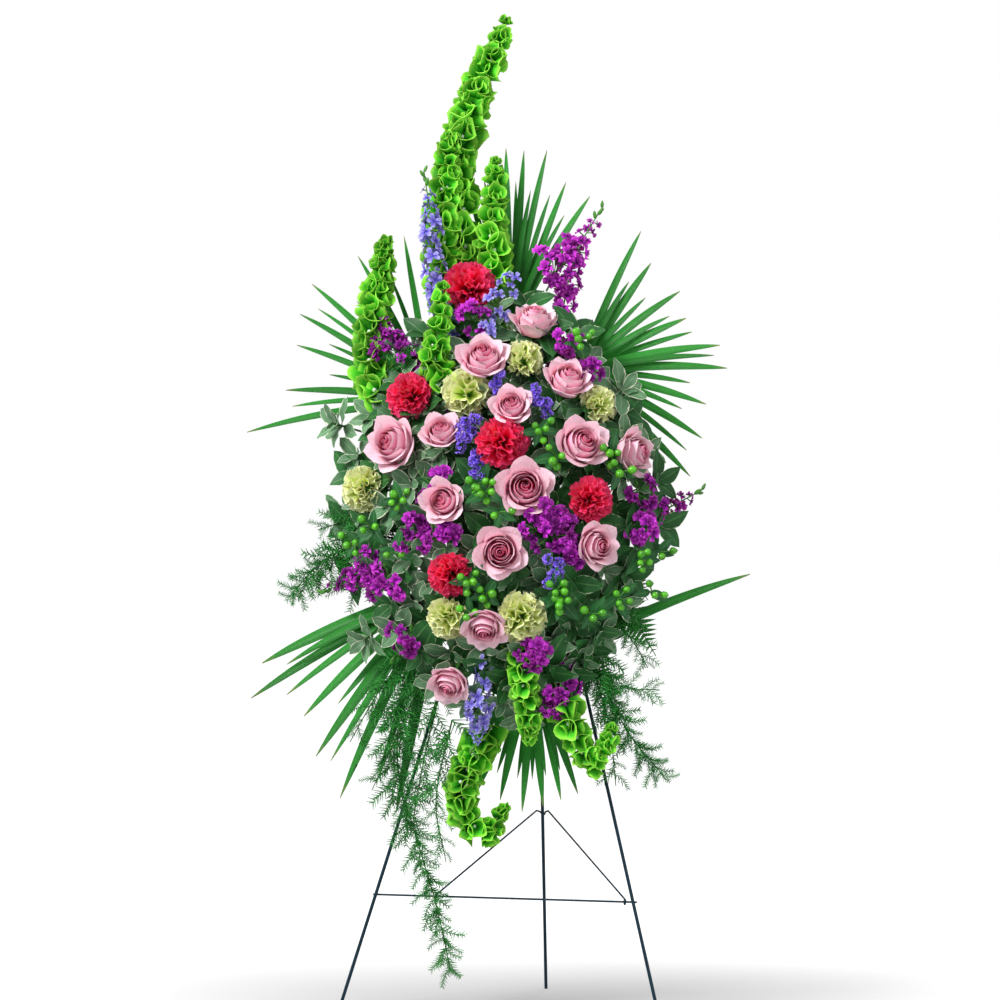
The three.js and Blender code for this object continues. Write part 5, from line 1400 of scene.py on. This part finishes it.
def make_brace(sizes):
    """The V-shaped brace bent from one wire, with a notch behind the rear leg."""
    radius = sizes.brace_radius
    top, _, along = rear_line(sizes)
    rest = top + along * ((PIN.z - sizes.brace_height) / -along.z)
    rise = rest - cross(0, sizes)
    reach = Vector((0, rise.y, rise.z)).normalized()
    down = Vector((0, reach.z, -reach.y))
    ring = sizes.wire_radius + RING_CLEARANCE + radius
    clear = sizes.leg_radius + radius + GAP

    def arm(x):
        start = degrees(atan2(reach.z, reach.y))
        hook = arc(cross(x, sizes), ring, start - 300, start - 30, 14)
        return [*hook, cross(x, sizes) + reach * (ring + 0.002)]

    half = ((0.009, -0.001, 0), (0.0042, 0.001, 0.003), (0.0016, clear, 0.009))
    notch = [(-x, forward, low) for x, forward, low in half] + [*reversed(half)]
    bends = [rest + Vector((x, 0, 0)) + reach * forward + down * low for x, forward, low in notch]
    left, right = (arm(x) for x in BRACE_ENDS)
    form = new_form()
    tube(form, [*left, *bends, *reversed(right)], radius, radius, 12)
    piece("brace_wire", form, ("wire",), "brace", body="brace")


def make_hanger(sizes):
    """The upper cross wire with two hooks that reach forward under the tray."""
    thin = sizes.wire_radius
    along = FOAM_MIDDLE - FOAM_HALF[1] - TRAY_WALL - thin - GAP * 2
    reach = leg_x(along * cos(LEAN), sizes) + CROSS_OVERHANG
    forward = sizes.leg_radius + thin + GAP
    front = FOAM_FRONT + thin + GAP
    form = new_form()
    tube(form, [on_easel(x, along, forward) for x in (-reach, 0, reach)], thin, thin, 14)
    for x in HOOKS:
        line = [(0, forward + 0.0001), (0, front - HOOK_BEND)]
        for k in range(1, 6):
            angle = radians(18 * k)
            line.append((HOOK_BEND * (1 - cos(angle)), front - HOOK_BEND + HOOK_BEND * sin(angle)))
        line.append((HOOK_LIP, front))
        tube(form, [on_easel(x, along + high, out) for high, out in line], thin, thin, 12)
    piece("hanger_wire", form, ("wire",), "hanger")


def make_tie():
    """The tie wire round the left leg and through the tray's two holes."""
    behind = -(TIE_LEG + TIE_RADIUS + GAP)
    front = TIE_LEG + GAP + TRAY_WALL + TIE_RADIUS + GAP
    left, right = TIE_HOLES
    along = FOAM_MIDDLE + FOAM_HALF[1] + TRAY_WALL + TRAY_TAB * 0.6
    corners = (
        (left, front), (left + 0.004, front), (right - 0.004, front), (right, front),
        (right, behind + 0.003), (right - 0.005, behind), (left + 0.005, behind), (left, behind + 0.003),
    )
    points = [on_easel(x, along, forward) for x, forward in corners]
    ends = [mix(points[-1], points[0], share) for share in (0.5, 0.46)]
    form = new_form()
    tube(form, [ends[0], *points, ends[1]], TIE_RADIUS, TIE_RADIUS, 10)
    piece("tie_wire_loop", form, ("tie",), "tie_wire")


def dress_nodes():
    """The foam and the tray keep their exact form and get their finish."""
    for name in ("foam", "tray"):
        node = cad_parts[name]
        node.data.materials.clear()
        node.data.materials.append(material(name))


# The studio.


def make_camera(scene):
    """The camera that sees the spray as the picture's columns and rows do."""
    data = bpy.data.cameras.new("camera")
    data.sensor_width = 36
    data.lens = FOCAL / PICTURE_SIDE * data.sensor_width
    data.shift_x = (PICTURE_SIDE / 2 - CENTRE_COLUMN) / PICTURE_SIDE
    data.shift_y = (HORIZON_ROW - PICTURE_SIDE / 2) / PICTURE_SIDE
    data.clip_end = 60
    camera = bpy.data.objects.new("camera", data)
    level = Matrix.Rotation(TURN, 4, "Z") @ Matrix.Rotation(pi / 2, 4, "X")
    camera.matrix_world = Matrix.Translation(EYE + SHIFT) @ level @ Matrix.Rotation(ROLL, 4, "Z")
    scene.collection.objects.link(camera)
    scene.camera = camera


def area_light(name, place, size, power):
    """A soft square light that points at the middle of the spray."""
    data = bpy.data.lights.new(name, "AREA")
    data.size = size
    data.energy = power
    light = bpy.data.objects.new(name, data)
    light.location = place
    way = Vector((0, 0, 0.75)) - light.location
    light.rotation_euler = way.to_track_quat("-Z", "Y").to_euler()
    bpy.context.scene.collection.objects.link(light)


def make_room(scene, looks):
    """White walls for the camera, and an even light from all round."""
    world = bpy.data.worlds.new("room")
    world.use_nodes = True
    net = Net(world.node_tree)
    backdrop = world.node_tree.nodes["Background"]
    backdrop.inputs["Color"].default_value = WHITE
    looked_at = net.add("LightPath").outputs["Is Camera Ray"]
    share = net.math("MULTIPLY", looked_at, 1 - looks.world_light)
    net.feed(backdrop.inputs["Strength"], net.math("ADD", share, looks.world_light))
    scene.world = world


def make_floor(scene, looks):
    """A wide floor that glows white away from the easel and glows less near it, which paints a soft shadow
    round the easel's feet.
    """
    form = bmesh.new()
    bmesh.ops.create_grid(form, x_segments=1, y_segments=1, size=40)
    mesh = settled(form, "floor")
    surface = bpy.data.materials.new("floor")
    surface.use_nodes = True
    net = Net(surface.node_tree)
    away = net.add("VectorMath", {"operation": "LENGTH"}, i0=net.place()).outputs["Value"]
    # The glow is weakest near the easel: a painted soft shadow under the spray that fades into the white
    # floor far away.
    glow = net.add("MapRange", i0=away, i1=0.1, i2=1.1, i3=looks.painted_shadow_glow, i4=looks.far_glow)
    looked_at = net.add("LightPath").outputs["Is Camera Ray"]
    values = {
        "Base Color": (*looks.floor_colour, 1),
        "Roughness": 0.9,
        "Specular IOR Level": 0.0,
        "Emission Color": WHITE,
        "Emission Strength": net.math("MULTIPLY", glow.outputs[0], looked_at),
    }
    for key, value in values.items():
        net.feed(surface.node_tree.nodes["Principled BSDF"].inputs[key], value)
    mesh.materials.append(surface)
    floor = bpy.data.objects.new("floor", mesh)
    scene.collection.objects.link(floor)


# The add-on.


def length(title, text, default):
    """A setting in metres."""
    return bpy.props.FloatProperty(name=title, description=text, default=default, unit="LENGTH")


def share_of(title, text, default):
    """A setting without a unit."""
    return bpy.props.FloatProperty(name=title, description=text, default=default)


def power(title, text, default):
    """A light's power."""
    return bpy.props.FloatProperty(name=title, description=text, default=default, unit="POWER")


def colour(title, text, default):
    """A colour in linear light."""
    return bpy.props.FloatVectorProperty(name=title, description=text, default=default, subtype="COLOR")


def main_colour(name):
    """The setting for a finish's main colour."""
    title = name.replace("_", " ").title()
    return colour(title, f"Main colour of this finish: {title}", rgb(FINISHES[name][1][main_input(name)])[:3])


class SprayEaselSizes(bpy.types.PropertyGroup):
    """Sizes of the easel's wires."""

    leg_radius: length("Leg Radius", "Radius of the legs' wire", 0.0025)
    wire_radius: length("Cross Wire Radius", "Radius of the cross wires", 0.0015)
    brace_radius: length("Brace Radius", "Radius of the brace's wire", 0.0014)
    half_spread: length("Half Spread", "Half the distance between the front feet", 0.2376)
    rear_foot_back: length("Rear Foot", "How far back the rear foot stands", 0.3492)
    rear_leg_offset: length("Rear Leg Offset", "How far right the rear leg's eye is", 0.0153)
    cross_height: length("Cross Wire Height", "Height of the lower cross wire", 0.1669)
    brace_height: length("Brace Height", "Height at which the brace meets the rear leg", 0.2796)


class SprayPlantSizes(bpy.types.PropertyGroup):
    """How full the blooms and the foliage are."""

    rose_fullness: share_of("Rose Fullness", "Width of each rose against its measured width", 1.0)
    carnation_petals: bpy.props.IntProperty(
        name="Carnation Petals", description="Petals in each carnation", default=58)
    bell_gap: length("Bell Gap", "Distance between whorls of bells", 0.0205)
    bell_reach: length("Bell Reach", "Length of the largest bells", 0.0282)
    filling_gap: share_of("Filling Gap", "Distance between twigs of filling, in picture columns", 28.0)


class SprayColours(bpy.types.PropertyGroup):
    """The main colour of each finish."""

    __annotations__ = {name: main_colour(name) for name in FINISHES}


class SprayStageLooks(bpy.types.PropertyGroup):
    """The studio's lights and floor."""

    key_power: power("Key Light", "Power of the key light", 125.0)
    fill_power: power("Fill Light", "Power of the fill light", 24.0)
    rim_power: power("Rim Light", "Power of the light behind", 28.0)
    world_light: share_of("Room Light", "Strength of the even light from all round", 0.45)
    # The floor glows least under the easel: a painted soft shadow there.
    painted_shadow_glow: share_of("Floor Glow", "Light that the floor itself gives under the easel", 0.12)
    far_glow: share_of("Far Floor Glow", "Light that the floor itself gives far away", 0.85)
    floor_colour: colour("Floor Colour", "Colour of the floor", (0.5, 0.5, 0.5))


class SPRAY_OT_stage(bpy.types.Operator):
    """Sets up the camera, the lights and the floor"""

    bl_idname = "spray.stage"
    bl_label = "Stage"

    def execute(self, context):
        looks = context.scene.spray_stage
        make_camera(context.scene)
        context.scene.view_settings.view_transform = "Standard"
        area_light("key", (-1.6, -2.4, 2.9), 1.6, looks.key_power)
        area_light("fill", (2.6, -2.0, 1.6), 2.2, looks.fill_power)
        area_light("rim", (0.6, 2.6, 2.4), 1.6, looks.rim_power)
        make_room(context.scene, looks)
        make_floor(context.scene, looks)
        return {"FINISHED"}


class SPRAY_OT_easel(bpy.types.Operator):
    """Builds the wire easel, the tie wire and the holder's finish"""

    bl_idname = "spray.easel"
    bl_label = "Easel and Holder"

    def execute(self, context):
        for make in (make_legs, make_pin, make_cross_wire, make_rear_leg, make_brace, make_hanger):
            make(context.scene.spray_easel)
        make_tie()
        dress_nodes()
        return {"FINISHED"}


class SPRAY_OT_roses(bpy.types.Operator):
    """Builds the fourteen pink roses"""

    bl_idname = "spray.roses"
    bl_label = "Roses"

    def execute(self, context):
        shapes = rose_shapes()
        for index in range(len(ROSES)):
            make_rose(index, shapes, context.scene.spray_plants.rose_fullness)
        return {"FINISHED"}


class SPRAY_OT_carnations(bpy.types.Operator):
    """Builds the red and the cream carnations"""

    bl_idname = "spray.carnations"
    bl_label = "Carnations"

    def execute(self, context):
        count = context.scene.spray_plants.carnation_petals
        shapes = carnation_shapes(0.035, 11)
        for i, head in enumerate(RED_CARNATIONS):
            make_carnation(f"carnation_red_{i + 1}", (head,), "red_petal", shapes, 31 + i, count)
        fewer, shapes = round(count * 0.66), carnation_shapes(0.02, 10)
        for i, (name, heads) in enumerate(CREAM_CARNATIONS.items()):
            make_carnation(f"carnation_cream_{name}", heads, "cream_petal", shapes, 41 + i, fewer, 1.3)
        return {"FINISHED"}


class SPRAY_OT_bells(bpy.types.Operator):
    """Builds the spikes of green bells"""

    bl_idname = "spray.bells"
    bl_label = "Bells"

    def execute(self, context):
        sizes = context.scene.spray_plants
        for i, name in enumerate(BELLS):
            make_bells(name, sizes.bell_gap, sizes.bell_reach, 51 + i)
        return {"FINISHED"}


class SPRAY_OT_spikes(bpy.types.Operator):
    """Builds the spikes and tufts of stock and larkspur"""

    bl_idname = "spray.spikes"
    bl_label = "Stock and Larkspur"

    def execute(self, context):
        bud = turned(((0.05, 0.0), (0.2, 0.15), (0.24, 0.5), (0.14, 0.85), (0.03, 1.0)), 6, 1)
        doubles = [floret_shape(rings, i + 1) for i, rings in enumerate(DOUBLE_FLORETS)]
        stock = ("stock_petal", doubles, bud, 0.0062, 0.017, 0.0145, 0.72)
        for i, (name, paths) in enumerate(STOCKS.items()):
            make_spikes(f"stock_{name}", "front", paths, stock, 91 + i)
        larkspur = ("larkspur_petal", [floret_shape(SINGLE_FLORET, 4)], bud, 0.0065, 0.018, 0.0145, 0.62)
        for i, (name, (face, path)) in enumerate(LARKSPUR.items()):
            make_spikes(f"larkspur_{name}", face, (path,), larkspur, 101 + i)
        make_tufts("stock_tufts", STOCK_TUFTS, stock, 0.0145, 131)
        make_tufts("larkspur_tufts", LARKSPUR_TUFTS, larkspur, 0.0105, 132)
        return {"FINISHED"}


class SPRAY_OT_fillers(bpy.types.Operator):
    """Builds the statice and the berries"""

    bl_idname = "spray.fillers"
    bl_label = "Statice and Berries"

    def execute(self, context):
        make_statice()
        make_berries()
        return {"FINISHED"}


class SPRAY_OT_palms(bpy.types.Operator):
    """Builds the palm leaves"""

    bl_idname = "spray.palms"
    bl_label = "Palms"

    def execute(self, context):
        for i, name in enumerate(FANS):
            make_palm(name, 71 + i)
        return {"FINISHED"}


class SPRAY_OT_ferns(bpy.types.Operator):
    """Builds the needle-leaved and the leatherleaf ferns"""

    bl_idname = "spray.ferns"
    bl_label = "Ferns"

    def execute(self, context):
        for i, name in enumerate(FERNS):
            make_fern(name, 81 + i)
        make_wisps(141)
        make_leatherleaf()
        return {"FINISHED"}


class SPRAY_OT_leaves(bpy.types.Operator):
    """Builds the pittosporum, the salal and the leaves between the blooms"""

    bl_idname = "spray.leaves"
    bl_label = "Leaves"

    def execute(self, context):
        for i, name in enumerate(ROSETTES):
            make_rosettes(name, 171 + i)
        make_filling(context.scene.spray_plants.filling_gap)
        return {"FINISHED"}


class SPRAY_PT_panel(bpy.types.Panel):
    """Lists the steps and their settings"""

    bl_idname = "SPRAY_PT_panel"
    bl_label = "Standing Spray"
    bl_space_type = "VIEW_3D"
    bl_region_type = "UI"
    bl_category = "Spray"

    def draw(self, context):
        for name in SETTINGS:
            box = self.layout.box()
            settings = getattr(context.scene, name)
            for key in settings.bl_rna.properties.keys():
                if key not in {"rna_type", "name"}:
                    box.prop(settings, key)
        for operator in OPERATORS:
            self.layout.operator(operator.bl_idname)


SETTINGS = {
    "spray_easel": SprayEaselSizes,
    "spray_plants": SprayPlantSizes,
    "spray_colours": SprayColours,
    "spray_stage": SprayStageLooks,
}
OPERATORS = (
    SPRAY_OT_stage, SPRAY_OT_easel, SPRAY_OT_roses, SPRAY_OT_carnations, SPRAY_OT_bells, SPRAY_OT_spikes,
    SPRAY_OT_fillers, SPRAY_OT_palms, SPRAY_OT_ferns, SPRAY_OT_leaves,
)
CLASSES = (*SETTINGS.values(), *OPERATORS, SPRAY_PT_panel)


def register():
    for cls in CLASSES:
        bpy.utils.register_class(cls)
    for name, cls in SETTINGS.items():
        setattr(bpy.types.Scene, name, bpy.props.PointerProperty(type=cls))


def unregister():
    for name in SETTINGS:
        delattr(bpy.types.Scene, name)
    for cls in reversed(CLASSES):
        bpy.utils.unregister_class(cls)


def main():
    register()
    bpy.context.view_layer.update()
    bpy.ops.spray.stage()
    bpy.ops.spray.easel()
    bpy.ops.spray.roses()
    bpy.ops.spray.carnations()
    bpy.ops.spray.bells()
    bpy.ops.spray.spikes()
    bpy.ops.spray.fillers()
    bpy.ops.spray.palms()
    bpy.ops.spray.ferns()
    bpy.ops.spray.leaves()


if __name__ == "__main__":
    main()
